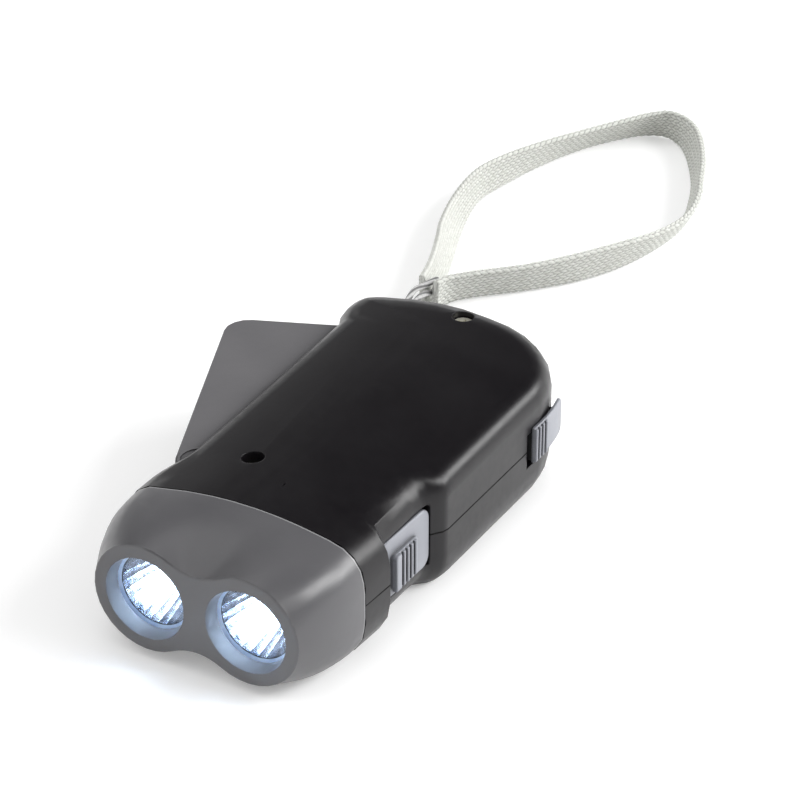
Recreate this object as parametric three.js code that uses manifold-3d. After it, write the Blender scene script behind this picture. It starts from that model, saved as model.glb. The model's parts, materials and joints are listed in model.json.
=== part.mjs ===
// Squeeze-lever dynamo torch with twin lamps and a wrist strap.
// Millimetres. The lamps face -Y, the two sliders are on +X and the lever is on -X.
// Z is up from the flat underside, and the origin is in the middle of that face.
import * as THREE from 'three';
import { mergeVertices } from 'three/addons/utils/BufferGeometryUtils.js';
import Module from 'manifold-3d';

const wasm = await Module();
wasm.setup();

const { lerp, smoothstep, clamp, degToRad } = THREE.MathUtils;

// Clearances
const gap = 0.3; // running clearance between neighbouring pieces
const snugGap = 0.1; // clearance of a piece that sits in its own pocket
const overrun = 1; // how far a cutting shape runs past what it cuts

// Casing
const bodyLength = 107.5;
const headLength = 17.9;
const lowerHeight = 13.2; // underside to the joint of the two halves
const upperHeight = 13.9; // joint to the top on the centre line
const crownRadius = 80; // at the head
const rearCrownRadius = 150;
const wall = 1.6;
const seamHalfWidth = 25.2;
const sideHalfWidth = 25.6;
const leverSideHalfWidth = 22.8;
const leverSideRearHalfWidth = 24.1;
const lobeHalfWidth = 26.5;
const leftBulge = 1.3; // how much wider the head and neck are on the lever's side
const seamFillet = 8.2;
const scoopFillet = 7.5;
const sideFillet = 4.5;
const rearFillet = 6;
const rearLeftFillet = 5.5;
const leverSideFillet = 5;
const seamUndercut = 9.5; // height of the rounded lower edge
const scoopUndercut = 8.5;
const sideUndercut = 7.5;
const finLength = 8.3;
const finStepLength = 1.35;
const scoopDepth = 2.5;
const scoopLength = 15.7;
const shoulderLength = 4.5;
const shoulderBlendLength = 3;
const scoopBlendLength = 3.5;
const rearCornerLength = 22.75;
const rearCornerWidth = 22.1;
const rearCornerSag = 0.9;
const rearHandleDrop = 1.35;
const rearBulge = 0.75;
const rearLeftWidth = 6.3;
const rearLeftSag = 2.35;
const rearLeftLength = 6.4;
const lobeLength = 2.5;
const lobeStepLength = 6.5;
const leverNeckLength = 10.5;
const leverNeckSetback = 5.35;
const spineSetback = 14;

// Head
const lampSpacing = 21.6;
const lobeRadius = 11.35;
const valleyRadius = 11;
const rimRounding = 0.8;
const rimStepShare = 0.3;
const boreRadius = 8.5;
const boreFloorRadius = 8;
const boreDepth = 3.2;
const lampRoomRadius = 9.3;
const lampRoomNeck = 4.3; // half height between the two lamp rooms
const lampRoomLength = 6;
const lampRoomFlare = 5.5;
const spigotLength = 3;
const spigotWall = 1.2;
const headBlendPower = 2.2;

// Lamps
const lensThickness = 0.8;
const flangeThickness = 0.9;
const bowlRimRadius = 7.8;
const bowlHoleRadius = 2.8;
const bowlWall = 0.8;
const bowlDepth = 10.8;
const bulbRadius = 2.5;
const bulbFlangeRadius = 2.9;
const bulbFlangeHeight = 1;
const bulbLength = 8.6;
const lampBoardThickness = 1.2;
const lampBoardWidth = 38;
const lampBoardHeight = 15.6;
const lampPegRadius = 1.8;
const lampPegTipRadius = 0.9;
const lampPegSpacing = 4.4;

// Lever
const pivotX = -20.4;
const pivotSetback = 15.55; // head joint to the pivot
const leverFrontRadius = 4.59;
const leverRearMargin = 14.85; // clipped inner corner to the casing's rear end
const leverTipSetback = 3.5; // how far the lever's own length ends before that corner
const leverCornerRadius = 5;
const leverHeight = 18;
const leverPlate = 1.8;
const leverWall = 1.3;
const hubRingRadius = 4.2;
const hubRingWidth = 0.5;
const hubRingHeight = 0.25;
const pivotBossRadius = 1.9;
const pivotBossHeight = 10;
const pivotPinRadius = 0.8;
const leverRestAngle = 22.2;
const leverTravelAngle = 22;
const leverSlotRoom = 0.55; // above the lever
const leverFloorRoom = 0.22; // below the lever

// Lever spring
const springRadius = 2.6;
const springWire = 0.35;
const springFloorRoom = 1.2;
const springPitch = 1.5;
const springStepsPerCurl = 8;
const springCurlSteps = 35;
const springLeverArm = 9;
const springCasingArm = 5;
const springPostRadius = 0.8;

// Gear train
const rackModule = 0.8;
const rackCircleTeeth = 116;
const rackTeeth = 10;
const rackInnerRadius = 40;
const rackStartAngle = 54.5;
const rackRootAngle = 95;
const firstLineAngle = 58; // direction from the pivot to the first shaft
const secondLineAngle = -62; // direction from the first shaft to the second
const rotorLineAngle = 200; // direction from the second shaft to the rotor
const wheelTeeth = 32;
const pinionTeeth = 12;
const firstModule = 0.6;
const secondModule = 0.5;
const pressureAngle = 20;
const backlash = 0.14;
const wheelAddendumShare = 0.7;
const pinionAddendumShare = 0.95;
const dedendumShare = 1.02;
const shaftRadius = 1;
const shaftFloor = 2.3;
const shaftBossRadius = 2.6;
const shaftBossTop = 4;
const gearPlateRise = 5.4; // above the joint of the casing
const gearPlateThickness = 0.8;
const gearPlateMargin = 2.9;
const drivePinionRise = 0.7; // above the gear plate
const drivePinionHeight = 2.3;
const driveHubRadius = 3.2;
const driveSpigotRadius = 2.2;
const firstWheelDrop = 2; // below the gear plate
const firstWheelHeight = 1.6;
const secondWheelDrop = 4.3;
const secondWheelHeight = 1.5;
const secondPinionHeight = 2.5;
const rotorPinionDrop = 4.5;
const rotorPinionHeight = 2;
const firstShaftHeadroom = 3.1; // below the crown

// Generator
const magnetRadius = 9.2;
const magnetBore = 4;
const magnetBottom = 5.5;
const flywheelRadius = 9.4;
const flywheelHeight = 1;
const flywheelHubRadius = 3.7;
const poleGap = 0.7;
const coreArmWidth = 3;
const coreBottom = 6.3;
const coreHeight = 5.4;
const coreArmReach = 0.3; // behind the rotor's axis
const coreBridgeReach = 20.7; // ahead of it
const coreBridgeDepth = 3.5;
const coilLength = 13.4;
const coilFlangeRadius = 5.5;
const coilFlangeThickness = 0.9;
const coilDepth = 0.3; // flange edge above the winding
const bobbinWall = 0.8;

// Posts and screws
const postRadius = 1.9;
const plateScrewRadius = 0.8;
const plateScrewHeadRadius = 1.6;
const plateScrewHeadHeight = 1.1;
const plateScrewLength = 5;
const casingScrewRadius = 1.1;
const casingScrewHeadRadius = 2;
const casingScrewHeadHeight = 1.3;
const casingScrewEnd = 4.5;
const frontScrewX = -8;
const frontScrewSetback = 15.15;
const frontScrewDepth = 4.4; // surface to the top of the head
const rearScrewX = 0;
const rearScrewMargin = 7.3;
const rearScrewDepth = 1.4;
const screwBossWall = 1.6;
const crossWidth = 0.5;
const crossLength = 2.4;
const crossDepth = 0.6;
const firstPostOffset = [12.1, -3.1]; // from the first shaft
const secondPostOffset = [0.8, 13.9];
const thirdPostOffset = [16, -10.7]; // from the rotor
const fourthPostOffset = [-7.5, -10.7];

// Battery
const cellRadius = 7.75;
const cellHeight = 5.4;
const cellCount = 3;
const cellX = 4;
const cellSetback = 9.05; // head joint to the cells' axis
const cellBottom = 3.5;
const cellSpacing = 0.1;
const cradleWall = 1;
const cradleTop = 6;
const cradlePadRadius = 5.5;
const contactBossRadius = 5;

// Circuit board and switch
const boardX = 16;
const boardThickness = 1.2;
const boardSetback = 8.85;
const boardLength = 17;
const boardBottom = 5;
const boardHeight = 15;
const boardRibTop = 6;
const boardRibWidth = 1.6;
const boardRibLip = 1.1;
const boardRibInset = 2;
const switchBodyDepth = 1.8;
const switchBodyLength = 9;
const switchBodyHeight = 5;
const switchSlotDepth = 1;
const switchSlotLength = 5.2;
const knobLength = 2;
const knobHeight = 1.4;

// Switch slider
const switchTravel = 2;
const panelThickness = 1.4;
const panelReach = 16.7; // foot of the fin to the panel's rear end
const panelHalfHeight = 6.4;
const panelFrontCover = 0.7; // how far the panel starts under the fin
const panelCornerRadius = 2.4;
const sliderFlange = 1;
const sliderFlangeLip = 1.5;
const gripLength = 8.6;
const gripHalfHeight = 4.7;
const gripBase = 1;
const gripRibHeight = 0.8;
const gripRibs = 5;
const gripRearSetback = 5.1;

// Lock slider
const lockTravel = 1.8;
const lockSlotMargin = 27.75; // slot's front end to the casing's rear end
const lockSlotLength = 13.2;
const lockHalfHeight = 3.9;
const lockLength = 13.8;
const lockGripLength = 9.1;
const lockPlate = 0.5;
const lockGripSetback = 1.2;
const lockGripHalfHeight = 3.2;
const lockGripHeight = 0.5;
const lockRibs = 4;
const lockFlange = 1;
const lockFlangeLip = 1.4;
const lockRiserWidth = 1.3;
const lockRiserLength = 4;
const lockArmInset = 5.8; // casing side to the arm
const lockArmWidth = 1.5;
const lockArmDrop = 1.3; // below the lever's top
const lockArmHeight = 1.2;
const lockNoseRadius = 46.3;
const lockNoseLength = 4.4;
const lockNoseTip = 0.6;
const lockNoseRoot = 1.8;
const lockRailLip = 1;

// Lanyard and strap
const lanyardSlotX = -18.6;
const lanyardSlotWidth = 7.4;
const lanyardSlotHeight = 2.8;
const lanyardPostMargin = 6.95;
const lanyardPostRadius = 1.2;
const lanyardPostTop = 17;
const cordRadius = 0.7;
const strapWidth = 8.5;
const strapThickness = 1.7;
const strapFloorGap = 0.05;

// Leads
const leadRadius = 0.4;
const leadSides = 5;
const leadSteps = 8;

// Steps of the round shapes
const filletSteps = 4;
const headSides = 64;
const roundSides = 20;
const smallSides = 12;
const bowlSides = 16;

// Places that follow from the sizes above
const frontY = -bodyLength / 2;
const rearY = bodyLength / 2;
const seamY = frontY + headLength;
const topZ = lowerHeight + upperHeight;
const lampX = lampSpacing / 2;
const pivotY = seamY + pivotSetback;
const leverBottom = lowerHeight - leverHeight / 2;
const leverTop = leverBottom + leverHeight;
const leverRearY = rearY - leverRearMargin;
const leverLength = leverRearY - pivotY - leverTipSetback;
const leverAngle = degToRad(90 + leverRestAngle);
const leverAlong = new THREE.Vector2(Math.cos(leverAngle), Math.sin(leverAngle));
const leverAcross = new THREE.Vector2(leverAlong.y, -leverAlong.x);
const pivot = new THREE.Vector2(pivotX, pivotY);
const rackPitchRadius = (rackCircleTeeth * rackModule) / 2;
const drivePitchRadius = (pinionTeeth * rackModule) / 2;
const firstShaft = alongFrom(pivot, firstLineAngle, rackPitchRadius + drivePitchRadius);
const firstCentres = ((wheelTeeth + pinionTeeth) * firstModule) / 2;
const secondShaft = alongFrom(firstShaft, secondLineAngle, firstCentres);
const secondCentres = ((wheelTeeth + pinionTeeth) * secondModule) / 2;
const rotor = alongFrom(secondShaft, rotorLineAngle, secondCentres);
const scoopHalfWidth = sideHalfWidth - scoopDepth;
const finY = seamY + finLength;
const scoopY = finY + finStepLength;
const scoopEndY = scoopY + scoopLength;
const shoulderY = scoopEndY + shoulderLength;
const leverSlotBottom = leverBottom - leverFloorRoom;
const leverSlotTop = leverTop + leverSlotRoom;
const lensFrontY = frontY + boreDepth;
const reflectorY = lensFrontY + lensThickness + gap;
const lampBoardY = reflectorY + bowlDepth + bulbFlangeHeight + gap;
const springBottom = leverBottom + leverPlate + springFloorRoom;
const gearPlateBottom = lowerHeight + gearPlateRise;
const gearPlateTop = gearPlateBottom + gearPlateThickness;
const drivePinionBottom = gearPlateTop + drivePinionRise;
const firstWheelBottom = gearPlateBottom - firstWheelDrop;
const secondWheelBottom = gearPlateBottom - secondWheelDrop;
const rotorPinionBottom = gearPlateBottom - rotorPinionDrop;
const firstShaftTop = topZ - firstShaftHeadroom;
const magnetHeight = rotorPinionBottom - 2 * gap - flywheelHeight - magnetBottom;
const ceilingBossBottom = drivePinionBottom + drivePinionHeight + gap;
const coreArmEndY = rotor.y + coreArmReach;
const coreBridgeFrontY = rotor.y - coreBridgeReach;
const frontScrewY = seamY + frontScrewSetback;
const rearScrewY = rearY - rearScrewMargin;
const cellY = seamY + cellSetback;
const boardFrontY = seamY + boardSetback;
const panelRearY = scoopY + panelReach;
const lockSlotFrontY = rearY - lockSlotMargin;
const lockArmX = sideHalfWidth - lockArmInset;
const lockArmBottom = leverTop - lockArmDrop;
const lanyardPostY = rearY - lanyardPostMargin;
const posts = [
  stepFrom(firstShaft, firstPostOffset),
  stepFrom(firstShaft, secondPostOffset),
  stepFrom(rotor, thirdPostOffset),
  stepFrom(rotor, fourthPostOffset),
];

// Colours and finishes
const finishes = {
  casing: { color: 0x242226, roughness: 0.45, metalness: 0 },
  head: { color: 0x68696d, roughness: 0.4, metalness: 0 },
  lever: { color: 0x717276, roughness: 0.5, metalness: 0 },
  slider: { color: 0xb9bcc2, roughness: 0.5, metalness: 0 },
  lens: { color: 0xdfe7ee, roughness: 0.05, metalness: 0 },
  mirror: { color: 0xe9eaee, roughness: 0.08, metalness: 1 },
  bulb: { color: 0xf4f6ff, roughness: 0.15, metalness: 0 },
  board: { color: 0x2f6b45, roughness: 0.6, metalness: 0 },
  black: { color: 0x1b1b1d, roughness: 0.6, metalness: 0 },
  steel: { color: 0xb6b8bb, roughness: 0.3, metalness: 1 },
  brass: { color: 0xc9bf98, roughness: 0.3, metalness: 1 },
  copper: { color: 0xa4592f, roughness: 0.4, metalness: 1 },
  lead: { color: 0x8f2a22, roughness: 0.6, metalness: 0 },
  magnet: { color: 0x4b4b50, roughness: 0.6, metalness: 0.6 },
  nylon: { color: 0xe6e2d4, roughness: 0.55, metalness: 0 },
  cloth: { color: 0xcdcec8, roughness: 0.9, metalness: 0 },
};

function alongFrom(point, degrees, distance) {
  const angle = degToRad(degrees);
  const x = point.x + distance * Math.cos(angle);
  const y = point.y + distance * Math.sin(angle);
  return new THREE.Vector2(x, y);
}

function stepFrom(point, [x, y]) {
  return new THREE.Vector2(point.x + x, point.y + y);
}

// Solids: joining and cutting

function signedVolume(positions, indices) {
  let volume = 0;
  const a = new THREE.Vector3();
  const b = new THREE.Vector3();
  const c = new THREE.Vector3();
  for (let i = 0; i < indices.length; i += 3) {
    a.fromArray(positions, indices[i] * 3);
    b.fromArray(positions, indices[i + 1] * 3);
    c.fromArray(positions, indices[i + 2] * 3);
    volume += a.dot(b.cross(c)) / 6;
  }
  return volume;
}

function solid(geometry) {
  const bare = geometry.clone();
  bare.deleteAttribute('normal');
  bare.deleteAttribute('uv');
  const merged = mergeVertices(bare, 1e-5);
  const vertProperties = new Float32Array(merged.attributes.position.array);
  const triVerts = new Uint32Array(merged.index.array);
  if (signedVolume(vertProperties, triVerts) < 0) {
    for (let i = 0; i < triVerts.length; i += 3) {
      const held = triVerts[i];
      triVerts[i] = triVerts[i + 1];
      triVerts[i + 1] = held;
    }
  }
  return new wasm.Manifold(new wasm.Mesh({ numProp: 3, vertProperties, triVerts }));
}

function join(...pieces) {
  return pieces.reduce((sum, piece) => sum.add(piece));
}

function cut(body, ...tools) {
  return tools.reduce((rest, tool) => rest.subtract(tool), body);
}

function meshGeometry(body) {
  const mesh = body.getMesh();
  const geometry = new THREE.BufferGeometry();
  geometry.setAttribute('position', new THREE.BufferAttribute(new Float32Array(mesh.vertProperties), 3));
  geometry.setIndex(new THREE.BufferAttribute(new Uint32Array(mesh.triVerts), 1));
  geometry.computeVertexNormals();
  return geometry;
}

function block(x0, x1, y0, y1, z0, z1) {
  const geometry = new THREE.BoxGeometry(x1 - x0, y1 - y0, z1 - z0);
  geometry.translate((x0 + x1) / 2, (y0 + y1) / 2, (z0 + z1) / 2);
  return solid(geometry);
}

function rod(place, radius, z0, z1, sides = smallSides) {
  const geometry = new THREE.CylinderGeometry(radius, radius, z1 - z0, sides);
  geometry.rotateX(Math.PI / 2);
  geometry.translate(place.x, place.y, (z0 + z1) / 2);
  return solid(geometry);
}

function rodAlongY(x, z, frontRadius, rearRadius, y0, y1, sides = roundSides) {
  const geometry = new THREE.CylinderGeometry(rearRadius, frontRadius, y1 - y0, sides);
  geometry.translate(x, (y0 + y1) / 2, z);
  return solid(geometry);
}

function rodAlongX(y, z, radius, x0, x1, sides = roundSides) {
  const geometry = new THREE.CylinderGeometry(radius, radius, x1 - x0, sides);
  geometry.rotateZ(Math.PI / 2);
  geometry.translate((x0 + x1) / 2, y, z);
  return solid(geometry);
}

function extruded(points, depth) {
  return new THREE.ExtrudeGeometry(new THREE.Shape(points), { depth, bevelEnabled: false, curveSegments: 1 });
}

function prism(points, z0, z1) {
  const geometry = extruded(points, z1 - z0);
  geometry.translate(0, 0, z0);
  return solid(geometry);
}

// Points hold (y, z), and the prism runs along X.
function prismAlongX(points, x0, x1) {
  const geometry = extruded(points, x1 - x0);
  const turn = new THREE.Matrix4();
  turn.makeBasis(new THREE.Vector3(0, 1, 0), new THREE.Vector3(0, 0, 1), new THREE.Vector3(1, 0, 0));
  geometry.applyMatrix4(turn);
  geometry.translate(x0, 0, 0);
  return solid(geometry);
}

function arcPoints(centreX, centreY, radius, startAngle, endAngle, steps) {
  const points = [];
  for (let i = 0; i <= steps; i += 1) {
    const angle = degToRad(lerp(startAngle, endAngle, i / steps));
    points.push(new THREE.Vector2(centreX + radius * Math.cos(angle), centreY + radius * Math.sin(angle)));
  }
  return points;
}

// Closed skin through rings of equal counts, with a fan of triangles over each end.
function loft(rings) {
  const count = rings[0].length;
  const points = rings.flat();
  const indices = [];
  for (let r = 0; r + 1 < rings.length; r += 1) {
    for (let i = 0; i < count; i += 1) {
      const a = r * count + i;
      const b = r * count + ((i + 1) % count);
      indices.push(a, b, b + count, a, b + count, a + count);
    }
  }
  const lastRing = (rings.length - 1) * count;
  const firstCentre = points.push(middleOf(rings[0])) - 1;
  const lastCentre = points.push(middleOf(rings.at(-1))) - 1;
  for (let i = 0; i < count; i += 1) {
    const next = (i + 1) % count;
    indices.push(firstCentre, next, i);
    indices.push(lastCentre, lastRing + i, lastRing + next);
  }
  const geometry = new THREE.BufferGeometry();
  geometry.setFromPoints(points);
  geometry.setIndex(indices);
  return solid(geometry);
}

function middleOf(ring) {
  const sum = new THREE.Vector3();
  ring.forEach((point) => sum.add(point));
  return sum.divideScalar(ring.length);
}

// Casing outline: places round the plan with their inward direction and edge radii

function station(x, y, inwardX, inwardY, fillet, undercut) {
  return { x, y, inwardX, inwardY, fillet, undercut };
}

function curveStations(curve, steps, filletFrom, filletTo) {
  const list = [];
  for (let i = 1; i <= steps; i += 1) {
    const share = i / steps;
    const point = curve.getPoint(share);
    const tangent = curve.getTangent(share);
    const fillet = lerp(filletFrom, filletTo, share);
    list.push(station(point.x, point.y, -tangent.y, tangent.x, fillet, sideUndercut));
  }
  return list;
}

function rightStations(inset) {
  const stepY = finY - inset;
  const blendStart = shoulderY - shoulderLength - scoopBlendLength;
  const blendLength = scoopBlendLength + shoulderLength + shoulderBlendLength;
  const blendSteps = 8;
  const list = [
    station(seamHalfWidth, seamY - headLength, -1, 0, seamFillet, seamUndercut),
    station(seamHalfWidth, seamY, -1, 0, seamFillet, seamUndercut),
    station(sideHalfWidth, stepY, -1, 0, seamFillet, seamUndercut),
    station(scoopHalfWidth, stepY + finStepLength, -1, 0, scoopFillet, scoopUndercut),
  ];
  for (let i = 0; i <= blendSteps; i += 1) {
    const y = blendStart + (blendLength * i) / blendSteps;
    const x = lerp(scoopHalfWidth, sideHalfWidth, smoothstep(y, scoopEndY, shoulderY));
    const fillet = lerp(scoopFillet, sideFillet, smoothstep(i / blendSteps, 0, 1));
    const undercut = lerp(scoopUndercut, sideUndercut, i / blendSteps);
    list.push(station(x, y, -1, 0, fillet, undercut));
  }
  list.push(station(sideHalfWidth, rearY - rearCornerLength, -1, 0, sideFillet, sideUndercut));
  return list;
}

function rearStations() {
  const sideHandleShare = 0.505;
  const rearHandleShare = 0.61;
  const bulgeShare = 0.42;
  const leftHandleShare = 0.6;
  const start = new THREE.Vector2(sideHalfWidth, rearY - rearCornerLength);
  const corner = new THREE.Vector2(sideHalfWidth - rearCornerWidth, rearY - rearCornerSag);
  const sideHandle = new THREE.Vector2(start.x, start.y + rearCornerLength * sideHandleShare);
  const rearHandle = new THREE.Vector2(corner.x + rearCornerWidth * rearHandleShare, corner.y - rearHandleDrop);
  const leftCorner = new THREE.Vector2(rearLeftWidth - lobeHalfWidth, rearY - rearLeftSag);
  const bulge = new THREE.Vector2(lerp(corner.x, leftCorner.x, bulgeShare), rearY + rearBulge);
  const lobe = new THREE.Vector2(-lobeHalfWidth, leftCorner.y - rearLeftLength);
  const slope = (bulge.y - leftCorner.y) / (bulge.x - leftCorner.x);
  const leftRun = rearLeftWidth * leftHandleShare;
  const leftHandle = new THREE.Vector2(leftCorner.x - leftRun, leftCorner.y - slope * leftRun);
  const lobeHandle = new THREE.Vector2(lobe.x, lobe.y + rearLeftLength * leftHandleShare);
  return [
    ...curveStations(new THREE.CubicBezierCurve(start, sideHandle, rearHandle, corner), 7, sideFillet, rearFillet),
    ...curveStations(new THREE.QuadraticBezierCurve(corner, bulge, leftCorner), 4, rearFillet, rearLeftFillet),
    ...curveStations(new THREE.CubicBezierCurve(leftCorner, leftHandle, lobeHandle, lobe), 5, rearLeftFillet, rearLeftFillet),
  ];
}

function leftStations() {
  const lobeY = rearY - rearLeftSag - rearLeftLength - lobeLength;
  const neckEndY = seamY + leverNeckSetback;
  const neckStartY = neckEndY + leverNeckLength;
  const steps = 4;
  const list = [];
  for (let i = 0; i <= steps; i += 1) {
    const share = smoothstep(i / steps, 0, 1);
    const x = -lerp(lobeHalfWidth, leverSideRearHalfWidth, share);
    const fillet = lerp(rearLeftFillet, leverSideFillet, share);
    list.push(station(x, lobeY - (lobeStepLength * i) / steps, 1, 0, fillet, sideUndercut));
  }
  for (let i = 0; i <= steps; i += 1) {
    const share = smoothstep(i / steps, 0, 1);
    const x = -lerp(leverSideHalfWidth, seamHalfWidth + leftBulge, share);
    const fillet = lerp(leverSideFillet, seamFillet, share);
    const undercut = lerp(sideUndercut, seamUndercut, share);
    list.push(station(x, neckStartY - (leverNeckLength * i) / steps, 1, 0, fillet, undercut));
  }
  const frontX = -seamHalfWidth - leftBulge;
  list.push(station(frontX, seamY, 1, 0, seamFillet, seamUndercut));
  list.push(station(frontX, seamY - headLength, 1, 0, seamFillet, seamUndercut));
  return list;
}

function casingStations(inset) {
  return [...rightStations(inset), ...rearStations(), ...leftStations()];
}

function crownZ(x, y) {
  const radius = lerp(crownRadius, rearCrownRadius, smoothstep(y, seamY, rearY - spineSetback));
  return topZ - (x * x) / (2 * radius);
}

function insetPoint(place, distance, z) {
  return new THREE.Vector3(place.x + place.inwardX * distance, place.y + place.inwardY * distance, z);
}

// Rings of the upper half from the joint to the crown, moved in by inset.
function upperRings(inset, jointZ) {
  const crownShares = [0.3, 0.6, 0.85];
  const places = casingStations(inset);
  const rings = [places.map((place) => insetPoint(place, inset, jointZ))];
  for (let i = 0; i <= filletSteps; i += 1) {
    const angle = (i / filletSteps) * (Math.PI / 2);
    rings.push(places.map((place) => {
      const edge = insetPoint(place, place.fillet, 0);
      const radius = place.fillet - inset;
      const z = crownZ(edge.x, edge.y) - inset - radius * (1 - Math.sin(angle));
      return insetPoint(place, place.fillet - radius * Math.cos(angle), z);
    }));
  }
  for (const share of crownShares) {
    rings.push(places.map((place) => {
      const edge = insetPoint(place, place.fillet, 0);
      const spineY = clamp(edge.y, seamY - headLength, rearY - spineSetback);
      const x = lerp(edge.x, 0, share);
      const y = lerp(edge.y, spineY, share);
      return new THREE.Vector3(x, y, crownZ(x, y) - inset);
    }));
  }
  return rings;
}

// Rings of the lower half from the joint down to the flat underside, moved in by inset.
function lowerRings(inset, jointZ) {
  const places = casingStations(inset);
  const rings = [places.map((place) => insetPoint(place, inset, jointZ))];
  for (let i = 0; i <= filletSteps; i += 1) {
    const angle = (i / filletSteps) * (Math.PI / 2);
    rings.push(places.map((place) => {
      const radius = place.fillet - inset;
      const rise = (place.undercut - inset) * (1 - Math.sin(angle));
      return insetPoint(place, place.fillet - radius * Math.cos(angle), inset + rise);
    }));
  }
  return rings;
}

// The whole inside of the casing, moved in by inset
function casingRoom(inset) {
  return join(loft(upperRings(inset, lowerHeight)), loft(lowerRings(inset, lowerHeight)));
}

function seenFromFront(point) {
  return new THREE.Vector2(point.x, point.z);
}

function aheadOfSeam() {
  const reach = bodyLength;
  return block(-reach, reach, seamY - reach, seamY, -reach, reach);
}

// Openings that both halves of the casing share

function leverSlot() {
  const innerX = -leverSideHalfWidth + leverSideFillet;
  const frontEdge = pivotY - leverFrontRadius - gap;
  return block(-bodyLength, innerX, frontEdge, leverRearY + gap, leverSlotBottom, leverSlotTop);
}

function switchWindow() {
  const halfHeight = panelHalfHeight + gap;
  const innerX = scoopHalfWidth - wall - overrun;
  const frontEnd = scoopY - panelFrontCover - switchTravel - gap;
  const rearEnd = panelRearY + gap;
  const low = lowerHeight - halfHeight;
  const high = lowerHeight + halfHeight;
  const throughFloor = block(innerX, sideHalfWidth, scoopY, rearEnd, low, high);
  const underFin = block(innerX, scoopHalfWidth, frontEnd, scoopY, low, high);
  return join(throughFloor, underFin);
}

function lockSlot() {
  const low = lowerHeight - lockHalfHeight;
  const high = lowerHeight + lockHalfHeight;
  const innerX = sideHalfWidth - wall - overrun;
  return block(innerX, bodyLength, lockSlotFrontY, lockSlotFrontY + lockSlotLength, low, high);
}

function lanyardSlot() {
  const halfWidth = lanyardSlotWidth / 2;
  const x0 = lanyardSlotX - halfWidth;
  const x1 = lanyardSlotX + halfWidth;
  return block(x0, x1, lanyardPostY, bodyLength, lowerHeight - overrun, lowerHeight + lanyardSlotHeight);
}

const frontScrew = { x: frontScrewX, y: frontScrewY, headTop: crownZ(frontScrewX, frontScrewY) - frontScrewDepth };
const rearScrew = { x: rearScrewX, y: rearScrewY, headTop: crownZ(rearScrewX, rearScrewY) - rearScrewDepth };
const casingScrews = [frontScrew, rearScrew];

function upperCasing() {
  const outer = loft(upperRings(0, lowerHeight));
  const room = loft(upperRings(wall, lowerHeight - overrun));
  const inside = loft(upperRings(wall / 2, lowerHeight));
  let body = cut(outer, room, leverSlot(), switchWindow(), lockSlot(), lanyardSlot());
  const recessRadius = casingScrewHeadRadius + gap;
  for (const screw of casingScrews) {
    body = join(body, rod(screw, recessRadius + screwBossWall, lowerHeight, topZ, roundSides).intersect(inside));
  }
  body = join(body, rod(pivot, pivotBossRadius, leverTop + gap - pivotBossHeight / 2, topZ).intersect(inside));
  body = join(body, rod(firstShaft, shaftBossRadius, ceilingBossBottom, topZ).intersect(inside));
  const cellTop = cellBottom + cellCount * cellHeight + (cellCount - 1) * cellSpacing;
  const contact = rod({ x: cellX, y: cellY }, contactBossRadius, cellTop + gap, topZ, roundSides);
  body = join(body, contact.intersect(inside));
  for (const screw of casingScrews) {
    const seat = screw.headTop - casingScrewHeadHeight;
    const recess = rod(screw, recessRadius, seat, topZ + overrun, roundSides);
    const hole = rod(screw, casingScrewRadius + gap, lowerHeight - overrun, seat + overrun);
    body = cut(body, recess, hole);
  }
  const pinHole = rod(pivot, pivotPinRadius + gap, lowerHeight - overrun, leverTop + gap);
  const shaftHole = rod(firstShaft, shaftRadius + gap, ceilingBossBottom - overrun, firstShaftTop + gap);
  return cut(body, pinHole, shaftHole, aheadOfSeam());
}

function lowerCasing() {
  const outer = loft(lowerRings(0, lowerHeight));
  const room = loft(lowerRings(wall, lowerHeight + overrun));
  let body = cut(outer, room, leverSlot(), switchWindow(), lockSlot());
  const inside = loft(lowerRings(wall / 2, gearPlateBottom));
  const fittings = [
    rod(pivot, pivotBossRadius, 0, pivotBossHeight),
    rod(firstShaft, shaftBossRadius, 0, shaftBossTop),
    rod(secondShaft, shaftBossRadius, 0, shaftBossTop),
    rod(rotor, shaftBossRadius, 0, shaftBossTop),
    ...casingScrews.map((screw) => rod(screw, casingScrewRadius + gap + screwBossWall, 0, lowerHeight)),
    ...posts.map((post) => rod(post, postRadius, 0, gearPlateBottom)),
    ...corePosts().map((post) => rod(post, postRadius, 0, coreBottom)),
    rod({ x: lanyardSlotX, y: lanyardPostY }, lanyardPostRadius, 0, lanyardPostTop),
    springPost(),
    cellCradle(),
    ...boardRibs(),
    switchRail(),
    lockRail(),
  ];
  for (const fitting of fittings) {
    body = join(body, fitting.intersect(inside));
  }
  const holes = [
    rod(pivot, pivotPinRadius + gap, leverBottom, pivotBossHeight + overrun),
    rod(firstShaft, shaftRadius + gap, shaftFloor - gap, shaftBossTop + overrun),
    rod(secondShaft, shaftRadius + gap, shaftFloor - gap, shaftBossTop + overrun),
    rod(rotor, shaftRadius + gap, shaftFloor - gap, shaftBossTop + overrun),
    ...casingScrews.map((screw) => rod(screw, casingScrewRadius + gap, casingScrewEnd - gap, lowerHeight + overrun)),
    ...posts.map((post) => screwHole(post, gearPlateBottom)),
    ...corePosts().map((post) => screwHole(post, coreBottom)),
  ];
  return cut(body, ...holes, aheadOfSeam());
}

function screwHole(place, top) {
  const depth = Math.min(plateScrewLength, top - wall) - gap;
  return rod(place, plateScrewRadius + gap, top - depth, top + overrun);
}

function corePosts() {
  const reach = magnetRadius + poleGap + coreArmWidth / 2;
  const y = coreBridgeFrontY + coreBridgeDepth / 2;
  return [new THREE.Vector2(rotor.x - reach, y), new THREE.Vector2(rotor.x + reach, y)];
}

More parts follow.
